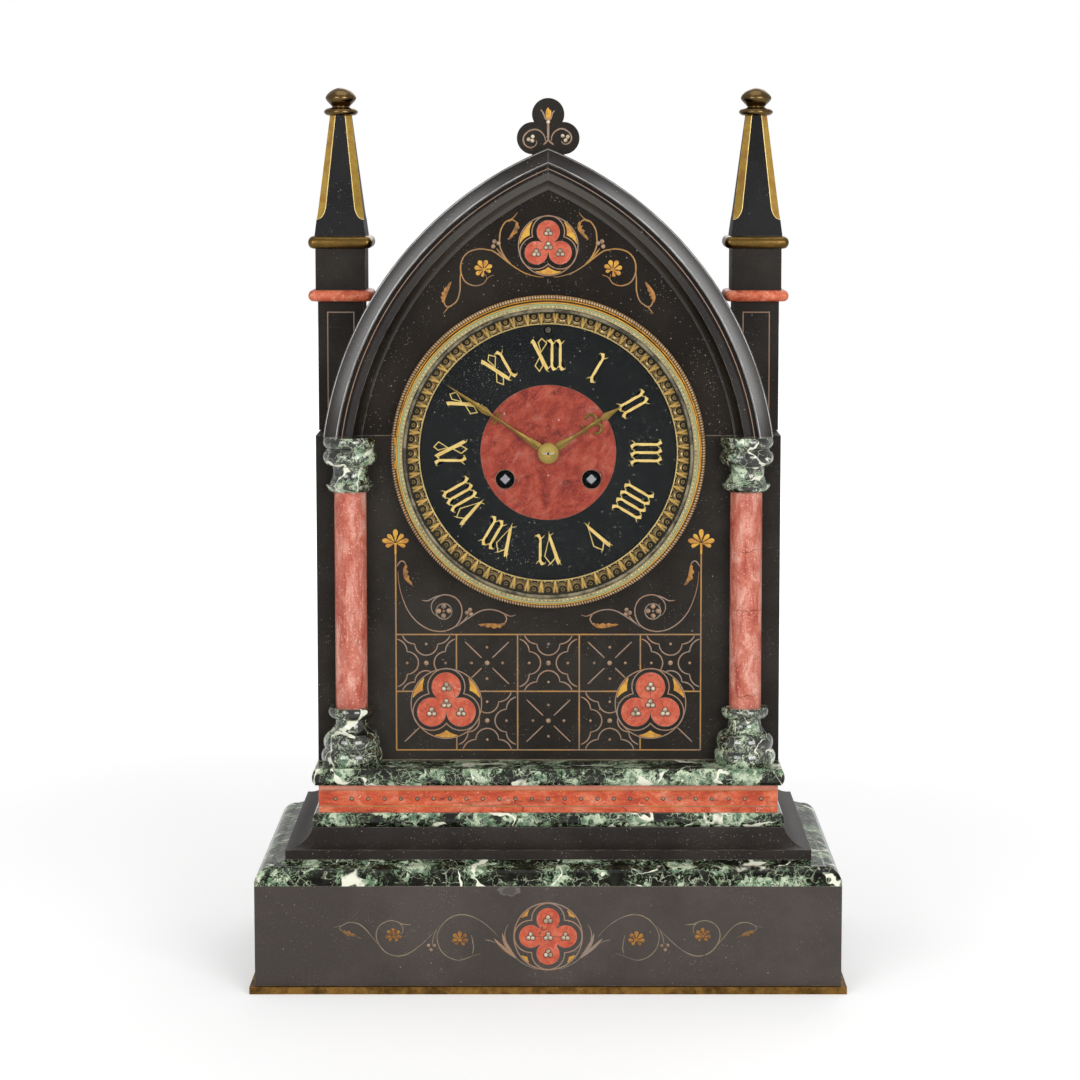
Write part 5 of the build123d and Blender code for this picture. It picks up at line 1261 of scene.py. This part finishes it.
# %% Dial numerals
DIAL_FACE, NUMERAL_RADIUS = -29.7, 51.9
NUMERALS = ("I", "II", "III", "IIII", "V", "VI", "VII", "VIII", "IX", "X", "XI", "XII")


def turned_to(angle, points):
    """Points across and along a line from the dial's middle, laid on the dial at an angle from twelve."""
    turn = math.radians(angle)
    return [(u * math.cos(turn) + v * math.sin(turn), DIAL_Z - u * math.sin(turn) + v * math.cos(turn))
            for u, v in points]


numerals = Relief(DIAL_FACE)
for hour, letters in enumerate(NUMERALS, 1):
    at = -sum(ADVANCE[letter] for letter in letters) / 2
    for letter in letters:
        across = at + ADVANCE[letter] / 2
        at += ADVANCE[letter]

        def laid(points):
            return turned_to(30 * hour, [(across + u, NUMERAL_RADIUS + v) for u, v in points])

        broad, kites, flicks = PEN[letter]
        numerals.fill(laid(broad), 0.2, 0.0)
        for kite in kites:
            numerals.stroke(laid(kite), 0.55, closed=True, curve=False, lift=0.2)
        for flick in flicks:
            numerals.stroke(laid(flick), 0.5, (1, 0.3), curve=False, lift=0.2)
numerals.piece("dial_numerals", METALS["numeral_gilt"])

# %% [markdown]
# Two winding squares stand in round holes of the dial, and a small regulating square near twelve. A worn ring edges
# each winding hole. A dark flat ring inside it hides the plates behind, as shadow does on the real clock.

# %% Winding holes
WINDING_AT, WINDING_RADIUS = ((-22.9, -14.3), (22.9, -14.3)), 5.0
WELL_FACE, WELL_HOLE = -28.0, 2.8
REGULATOR_AT, REGULATOR_RADIUS = (0.0, 65.0), 2.3
eyelets, wells = Relief(DIAL_FACE), Relief(WELL_FACE)
for x, drop in WINDING_AT:
    eyelets.ring((x, DIAL_Z + drop), WINDING_RADIUS + 0.15, 0.3)
    wells.ring((x, DIAL_Z + drop), (WINDING_RADIUS + WELL_HOLE) / 2, WINDING_RADIUS - WELL_HOLE)
wells.ring((REGULATOR_AT[0], DIAL_Z + REGULATOR_AT[1]), REGULATOR_RADIUS - 0.4, 0.8)
eyelets.piece("winding_eyelets", line_worn)
wells.piece("winding_wells", well_black)

# %% [markdown]
# The hands are pierced from sheet brass and filed to a ridge, so that each blade shows a light and a dark side.
# The CAD hands are flat plates of the same outline. These blades stand for them: half widths along the hand, a
# ridge down the middle, small cross bars, and two hooks on the hour hand. A steel pin holds the collet.

# %% Hands
HAND_LIFT, HUB_RADIUS, HUB_WIDTH, BAR_HALF = 0.42, 4.3, 1.0, 2.6
MINUTE_BLADE = ((3.5, 1.2), (6.5, 2.0), (9.0, 1.9), (15.0, 1.1), (22.0, 0.7), (36.0, 0.65), (40.6, 2.0), (45.0, 1.2),
                (64.8, 0.15))
HOUR_BLADE = ((3.5, 1.2), (6.5, 2.1), (9.0, 2.0), (14.0, 1.1), (18.0, 0.7), (24.0, 0.7), (30.0, 1.1), (33.0, 0.9),
              (36.5, 2.0), (39.5, 1.2), (45.6, 0.15))
HOOK = ((0.5, 29.6), (1.6, 30.9), (3.2, 31.3), (4.9, 30.2), (5.5, 28.3), (4.9, 26.7), (3.8, 26.3))
HANDS = {"minute_hand": (304.0, -33.25, MINUTE_BLADE, (32.4, 34.0), ()),
         "hour_hand": (57.5, -31.45, HOUR_BLADE, (22.8,), SIDES)}

for name, (angle, face, blade, bars, hooks) in HANDS.items():
    hand = Relief(face)
    hand.ring((0.0, DIAL_Z), HUB_RADIUS - HUB_WIDTH / 2, HUB_WIDTH)
    rings = []
    for along, half in blade:
        left, middle, right = turned_to(angle, [(-half, along), (0, along), (half, along)])
        rings.append([hand.spot(*left, -SUNK), hand.spot(*left, 0.1), hand.spot(*middle, HAND_LIFT),
                      hand.spot(*right, 0.1), hand.spot(*right, -SUNK)])
    hand.skin(rings)
    for along in bars:
        hand.stroke(turned_to(angle, [(-BAR_HALF, along), (BAR_HALF, along)]), 1.0, (0.9, 0.9), lift=HAND_LIFT)
        for way in SIDES:
            hand.dot(*turned_to(angle, [(way * BAR_HALF, along)])[0], 0.7, HAND_LIFT, 10)
    for way in hooks:
        hand.stroke(turned_to(angle, flip(HOOK, way)), 1.4, (0.8, 0.5), lift=HAND_LIFT)
    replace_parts(hand.piece(name + "_blade", METALS["hand_brass"], name, "hand_brass"), name)

# %% Pin of the collet
COLLET_FACE = -35.95
pin, pin_hole = Relief(COLLET_FACE), Relief(COLLET_FACE - 0.1)
pin.stroke([(-3.4, DIAL_Z), (-1.0, DIAL_Z), (1.0, DIAL_Z), (3.0, DIAL_Z)], 0.75, (0.4, 0.9), lift=0.3)
# The pin's hole is a dark dot of painted shade.
pin_hole.dot(0.0, DIAL_Z, 0.62, 0.25)
pin.piece("collet_pin", METALS["silver_steel"], "minute_hand", "steel")
pin_hole.piece("collet_pin_hole", well_black, "minute_hand")

# %% [markdown]
# The bezel is pressed and cast brass in narrow bands: a rope outside, a gilt and a green line, a row of beads, and
# behind the glass a ring of egg and dart. Each band repeats one small form round the dial. The rope is one closed
# tube whose thickness follows the twist, the lines are plain tubes, and the beads are small balls.

# %% Bands round the dial


def on_dial(radius, turn, depth):
    """A point round the dial, in metres."""
    return (radius * math.sin(turn) * MM, depth * MM, (DIAL_Z + radius * math.cos(turn)) * MM)


def band_mesh(points, turns, sides):
    """A closed tube from points given turn by turn."""
    faces = []
    for turn in range(turns):
        for side in range(sides):
            a, b = turn * sides + side, turn * sides + (side + 1) % sides
            after = ((turn + 1) % turns - turn) * sides
            faces.append((a, b, b + after, a + after))
    mesh = bpy.data.meshes.new("band")
    mesh.from_pydata(points, [], faces)
    tidy_mesh = bmesh.new()
    tidy_mesh.from_mesh(mesh)
    bmesh.ops.recalc_face_normals(tidy_mesh, faces=tidy_mesh.faces[:])
    tidy_mesh.to_mesh(mesh)
    tidy_mesh.free()
    mesh.shade_smooth()
    return mesh


def round_band(radius, depth, thick, strands=0, turns=256, sides=8):
    """A tube round the dial, plain or twisted from strands."""
    points = []
    for step in range(turns):
        turn = 2 * math.pi * step / turns
        for side in range(sides):
            lean = 2 * math.pi * side / sides
            swell = thick * (0.78 + 0.22 * math.cos(strands * turn + lean)) if strands else thick
            points.append(on_dial(radius + swell * math.cos(lean), turn, depth + swell * math.sin(lean)))
    return band_mesh(points, turns, sides)


print("bands turn round a dial at", DIAL_Z, "mm")

# %% Rope and lines
ROPE_STEPS = 8
ROPE_RADIUS, ROPE_DEPTH, ROPE_THICK = 82.3, -29.6, 1.3
rope = round_band(ROPE_RADIUS, ROPE_DEPTH, ROPE_THICK, ROPE_STRANDS, ROPE_STRANDS * ROPE_STEPS)
mount("bezel_rope", rope, METALS["rope_gilt"], "case")
BANDS = {
    "bezel_hollow": (80.95, -29.5, 0.45, "bezel_gilt", "case"),
    "bezel_gold_line": (79.85, -39.2, 0.42, "bezel_gilt", "bezel_door"),
    "bezel_green_line": (79.0, -39.7, 0.52, "verdigris", "bezel_door"),
    "sight_edge": (68.5, -31.0, 0.42, "leaf_gilt", "bezel_door"),
}
for name, (radius, depth, thick, finish, body) in BANDS.items():
    mount(name, round_band(radius, depth, thick), METALS[finish], body)

# %% Beads
BEADS, BEAD_RADIUS, BEADS_OUT, BEADS_DEPTH = 213, 0.62, 77.8, -39.95
beads = bmesh.new()
for bead in range(BEADS):
    made = bmesh.ops.create_icosphere(beads, subdivisions=2, radius=BEAD_RADIUS * MM)["verts"]
    bmesh.ops.translate(beads, verts=made, vec=on_dial(BEADS_OUT, 2 * math.pi * bead / BEADS, BEADS_DEPTH))
bead_mesh = bpy.data.meshes.new("bezel_beads")
beads.to_mesh(bead_mesh)
beads.free()
bead_mesh.shade_smooth()
mount("bezel_beads", bead_mesh, METALS["bead_gilt"], "bezel_door")

# %% [markdown]
# Egg and dart is a very old moulding. Each egg here is a small coil with two shells curling under it, and two
# pointed darts stand between one egg and the next. One unit is drawn flat, as strokes across and down the slope,
# and every point is then carried on to the cone of the ring, raised along the slope's own normal.

# %% The ring's slope
SLOPE_OUT, SLOPE_IN = (74.6, -36.6), (68.6, -31.0)
slope_run = math.hypot(SLOPE_IN[0] - SLOPE_OUT[0], SLOPE_IN[1] - SLOPE_OUT[1])
slope_down = ((SLOPE_IN[0] - SLOPE_OUT[0]) / slope_run, (SLOPE_IN[1] - SLOPE_OUT[1]) / slope_run)
slope_up = (-slope_down[1], slope_down[0])


class Slope(Relief):
    """Thin work on the ring's slope: across is round the dial, down is from its outer edge to its inner edge."""

    turn = 0.0

    def spot(self, across, down, lift):
        radius = SLOPE_OUT[0] + down * slope_down[0] - lift * abs(slope_up[0])
        depth = SLOPE_OUT[1] + down * slope_down[1] - lift * abs(slope_up[1])
        return self.mesh.verts.new(on_dial(radius, self.turn + across / radius, depth))


print("slope", round(slope_run, 2), "mm wide")

# %% Egg and dart
EGGS = 60
COIL_DOWN, COIL_RADIUS = 2.2, 0.9
SHELL_DOWN, SHELLS = 3.0, ((2.3, 0.8), (3.3, 0.5))
DART, DART_WIDTH = ((3.0, 0.4), (3.05, 3.0), (3.3, 6.0), (3.7, 8.2)), 1.3
SHELL_LIFT, DART_LIFT = 0.8, 1.1
darts, shells = Slope(0.0), Slope(0.0)
for egg in range(EGGS):
    darts.turn = shells.turn = 2 * math.pi * egg / EGGS
    shells.stroke(arc((0.0, COIL_DOWN), COIL_RADIUS, 0, 360, 10)[:-1], 0.5, closed=True, curve=False, lift=SHELL_LIFT)
    for bow, wide in SHELLS:
        shells.stroke(arc((0.0, SHELL_DOWN), bow, 190, -10, 12)[::-1], wide, (0.4, 0.4), curve=False, lift=SHELL_LIFT)
    for way in SIDES:
        darts.stroke(flip(DART, way), DART_WIDTH, (0.9, 0.2), lift=DART_LIFT)
        shells.dot(way * 1.9, 7.4, 0.55, 0.5, 8)
shells.piece("egg_shells", METALS["shell_gilt"], "bezel_door", "bezel_brass")
darts.piece("egg_darts", METALS["dart_gilt"], "bezel_door", "bezel_brass")

# %% [markdown]
# The glass has a ground bevel along its rim. Seen from the front it is a plain grey band between the beads and the
# egg and dart. A flat ring of four corners does for it, laid just on the glass so that it swings with the bezel.

# %% Bevel of the glass
BEVEL_STEPS = 160
BEVEL_RING = ((75.0, -38.72), (75.0, -38.9), (77.0, -38.9), (77.0, -38.72))
bevel_points = [on_dial(radius, 2 * math.pi * step / BEVEL_STEPS, depth)
                for step in range(BEVEL_STEPS) for radius, depth in BEVEL_RING]
mount("glass_bevel", band_mesh(bevel_points, BEVEL_STEPS, len(BEVEL_RING)), bevel_glass, "bezel_door")

# %% [markdown]
# Each obelisk is a slim square pyramid whose corners are cut off and gilt. The cut stops short of the foot in a
# curve, which masons call a lamb's tongue. The CAD solid has the plain cut corners. This piece stands for it with
# the curved stop: rings of sixteen points whose corner cut opens quickly above the foot and then narrows slowly,
# with a bright rubbed edge on each side of the gilding.

# %% The cut of a corner
OBELISK_X, OBELISK_Y, OBELISK_LOW, OBELISK_WAIST, OBELISK_HIGH = 112.0, 17.0, 392.7, 430.0, 457.2
OBELISK_FOOT, OBELISK_TOP = 13.8, 5.75
STOP_LOW, STOP_HIGH, STOP_STEPS = 401.5, 408.5, 10
CUT_LEAST, CUT_FOOT, CUT_TOP = 0.02, 3.9, 2.9


def corner_cut(z):
    """How much of a corner is cut off at a height."""
    if z <= STOP_LOW:
        return CUT_LEAST
    if z < STOP_HIGH:
        share = (z - STOP_LOW) / (STOP_HIGH - STOP_LOW)
        return CUT_LEAST + (CUT_FOOT - CUT_LEAST) * math.sqrt(1 - (1 - share) ** 2)
    return CUT_FOOT + (CUT_TOP - CUT_FOOT) * (z - STOP_HIGH) / (OBELISK_HIGH - STOP_HIGH)


stop_levels = [STOP_LOW + (STOP_HIGH - STOP_LOW) * step / STOP_STEPS for step in range(STOP_STEPS + 1)]
levels = [OBELISK_LOW] + stop_levels + [OBELISK_WAIST, OBELISK_HIGH]
print("corner cut", CUT_FOOT, "mm at the foot,", len(levels), "levels")

# %% Obelisks with gilt corners
GILT_EDGE = 0.4
RING = 16
PLAIN, GILT, BRIGHT = 0, 1, 2
for side, word in SIDE_WORDS:
    points, faces, kinds = [], [], []
    for z in levels:
        half = OBELISK_FOOT + (OBELISK_TOP - OBELISK_FOOT) * (z - OBELISK_LOW) / (OBELISK_HIGH - OBELISK_LOW)
        cut = half - corner_cut(z)
        for turn in range(4):
            for across in (-cut, GILT_EDGE - cut, cut - GILT_EDGE, cut):
                x, y = ((across, -half), (half, across), (-across, half), (-half, -across))[turn]
                points.append(((side * OBELISK_X + x) * MM, (OBELISK_Y + y) * MM, z * MM))
    for level in range(len(levels) - 1):
        for face in range(RING):
            a, b = level * RING + face, level * RING + (face + 1) % RING
            faces.append((a, b, b + RING, a + RING))
            kinds.append((BRIGHT, PLAIN, BRIGHT, GILT)[face % 4] if level else PLAIN)
    faces += [tuple(range(RING - 1, -1, -1)), tuple(range(len(points) - RING, len(points)))]
    obelisk_mesh = bpy.data.meshes.new("obelisk_" + word)
    obelisk_mesh.from_pydata(points, [], faces)
    obelisk = mount("obelisk_" + word, obelisk_mesh, obelisk_slate, "case")
    for finish in (METALS["obelisk_gilt"], METALS["leaf_gilt"]):
        obelisk_mesh.materials.append(finish.material)
    for face, kind in zip(obelisk_mesh.polygons, kinds + [PLAIN, PLAIN]):
        face.material_index = kind
    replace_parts(obelisk, "obelisks")

# %% [markdown]
# The finials were turned on a lathe: a cap shaped like an onion with a sharp rim, over a saucer. The collars below
# are square, with round noses. Both are made of rings of points, one ring for each height. These pieces stand for
# the plainer solids of the CAD model, with the same heights and the same greatest widths.

# %% Finials
FINIAL = ((5.9, 457.2), (7.6, 457.5), (8.7, 458.2), (9.2, 459.2), (8.9, 460.1), (7.9, 460.9), (6.2, 461.4),
          (4.9, 461.7), (4.7, 462.1), (5.3, 462.8), (6.7, 464.2), (7.9, 465.6), (8.3, 466.6), (8.1, 467.6),
          (7.2, 468.9), (5.9, 470.1), (4.2, 471.2), (2.4, 471.9), (0.9, 472.25))
FINIAL_SIDES = 40


def ringed(rings):
    """A closed mesh from rings of points in millimetres."""
    made = Relief(0.0)
    made.skin([[made.mesh.verts.new([part * MM for part in point]) for point in ring] for ring in rings])
    return made


for side, word in SIDE_WORDS:
    middle = (side * OBELISK_X, OBELISK_Y)
    cap = ringed([[(x, y, z) for x, y in arc(middle, radius, 0, 360, FINIAL_SIDES)[:-1]] for radius, z in FINIAL])
    cap_piece = cap.piece("finial_" + word, METALS["finial_bronze"], "case", "bronze")
    cap_piece.data.shade_smooth()
    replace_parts(cap_piece, "finials")

# %% Collars
COLLARS = {"brass_collar": (17.2, 386.0, 392.7, METALS["collar_brass"], "collar_brass"),
           "rouge_collar": (17.3, 357.7, 363.7, collar_marble, "rouge_marble")}
COLLAR_CORNER, NOSE_SHARE, NOSE_STEPS = 3.2, 0.8, 12
COLLAR_TURNS = ((1, 1), (-1, 1), (-1, -1), (1, -1))


def collar_ring(middle, out, z):
    """A square with round corners at one height."""
    ring = []
    for turn, (right, back) in enumerate(COLLAR_TURNS):
        heart = (middle[0] + right * (out - COLLAR_CORNER), middle[1] + back * (out - COLLAR_CORNER))
        ring += [(x, y, z) for x, y in arc(heart, COLLAR_CORNER, 90 * turn, 90 * turn + 90, 5)]
    return ring


for side, word in SIDE_WORDS:
    for name, (half, low, high, finish, slot) in COLLARS.items():
        nose, rings = (high - low) / 2, []
        for step in range(NOSE_STEPS + 1):
            lean = math.radians(-90 + 180 * step / NOSE_STEPS)
            out = half - nose * NOSE_SHARE * (1 - math.cos(lean))
            rings.append(collar_ring((side * OBELISK_X, OBELISK_Y), out, (low + high) / 2 + nose * math.sin(lean)))
        collar = ringed(rings).piece(name + "_" + word, finish, "case", slot)
        collar.data.shade_smooth()
        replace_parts(collar, name + "s")
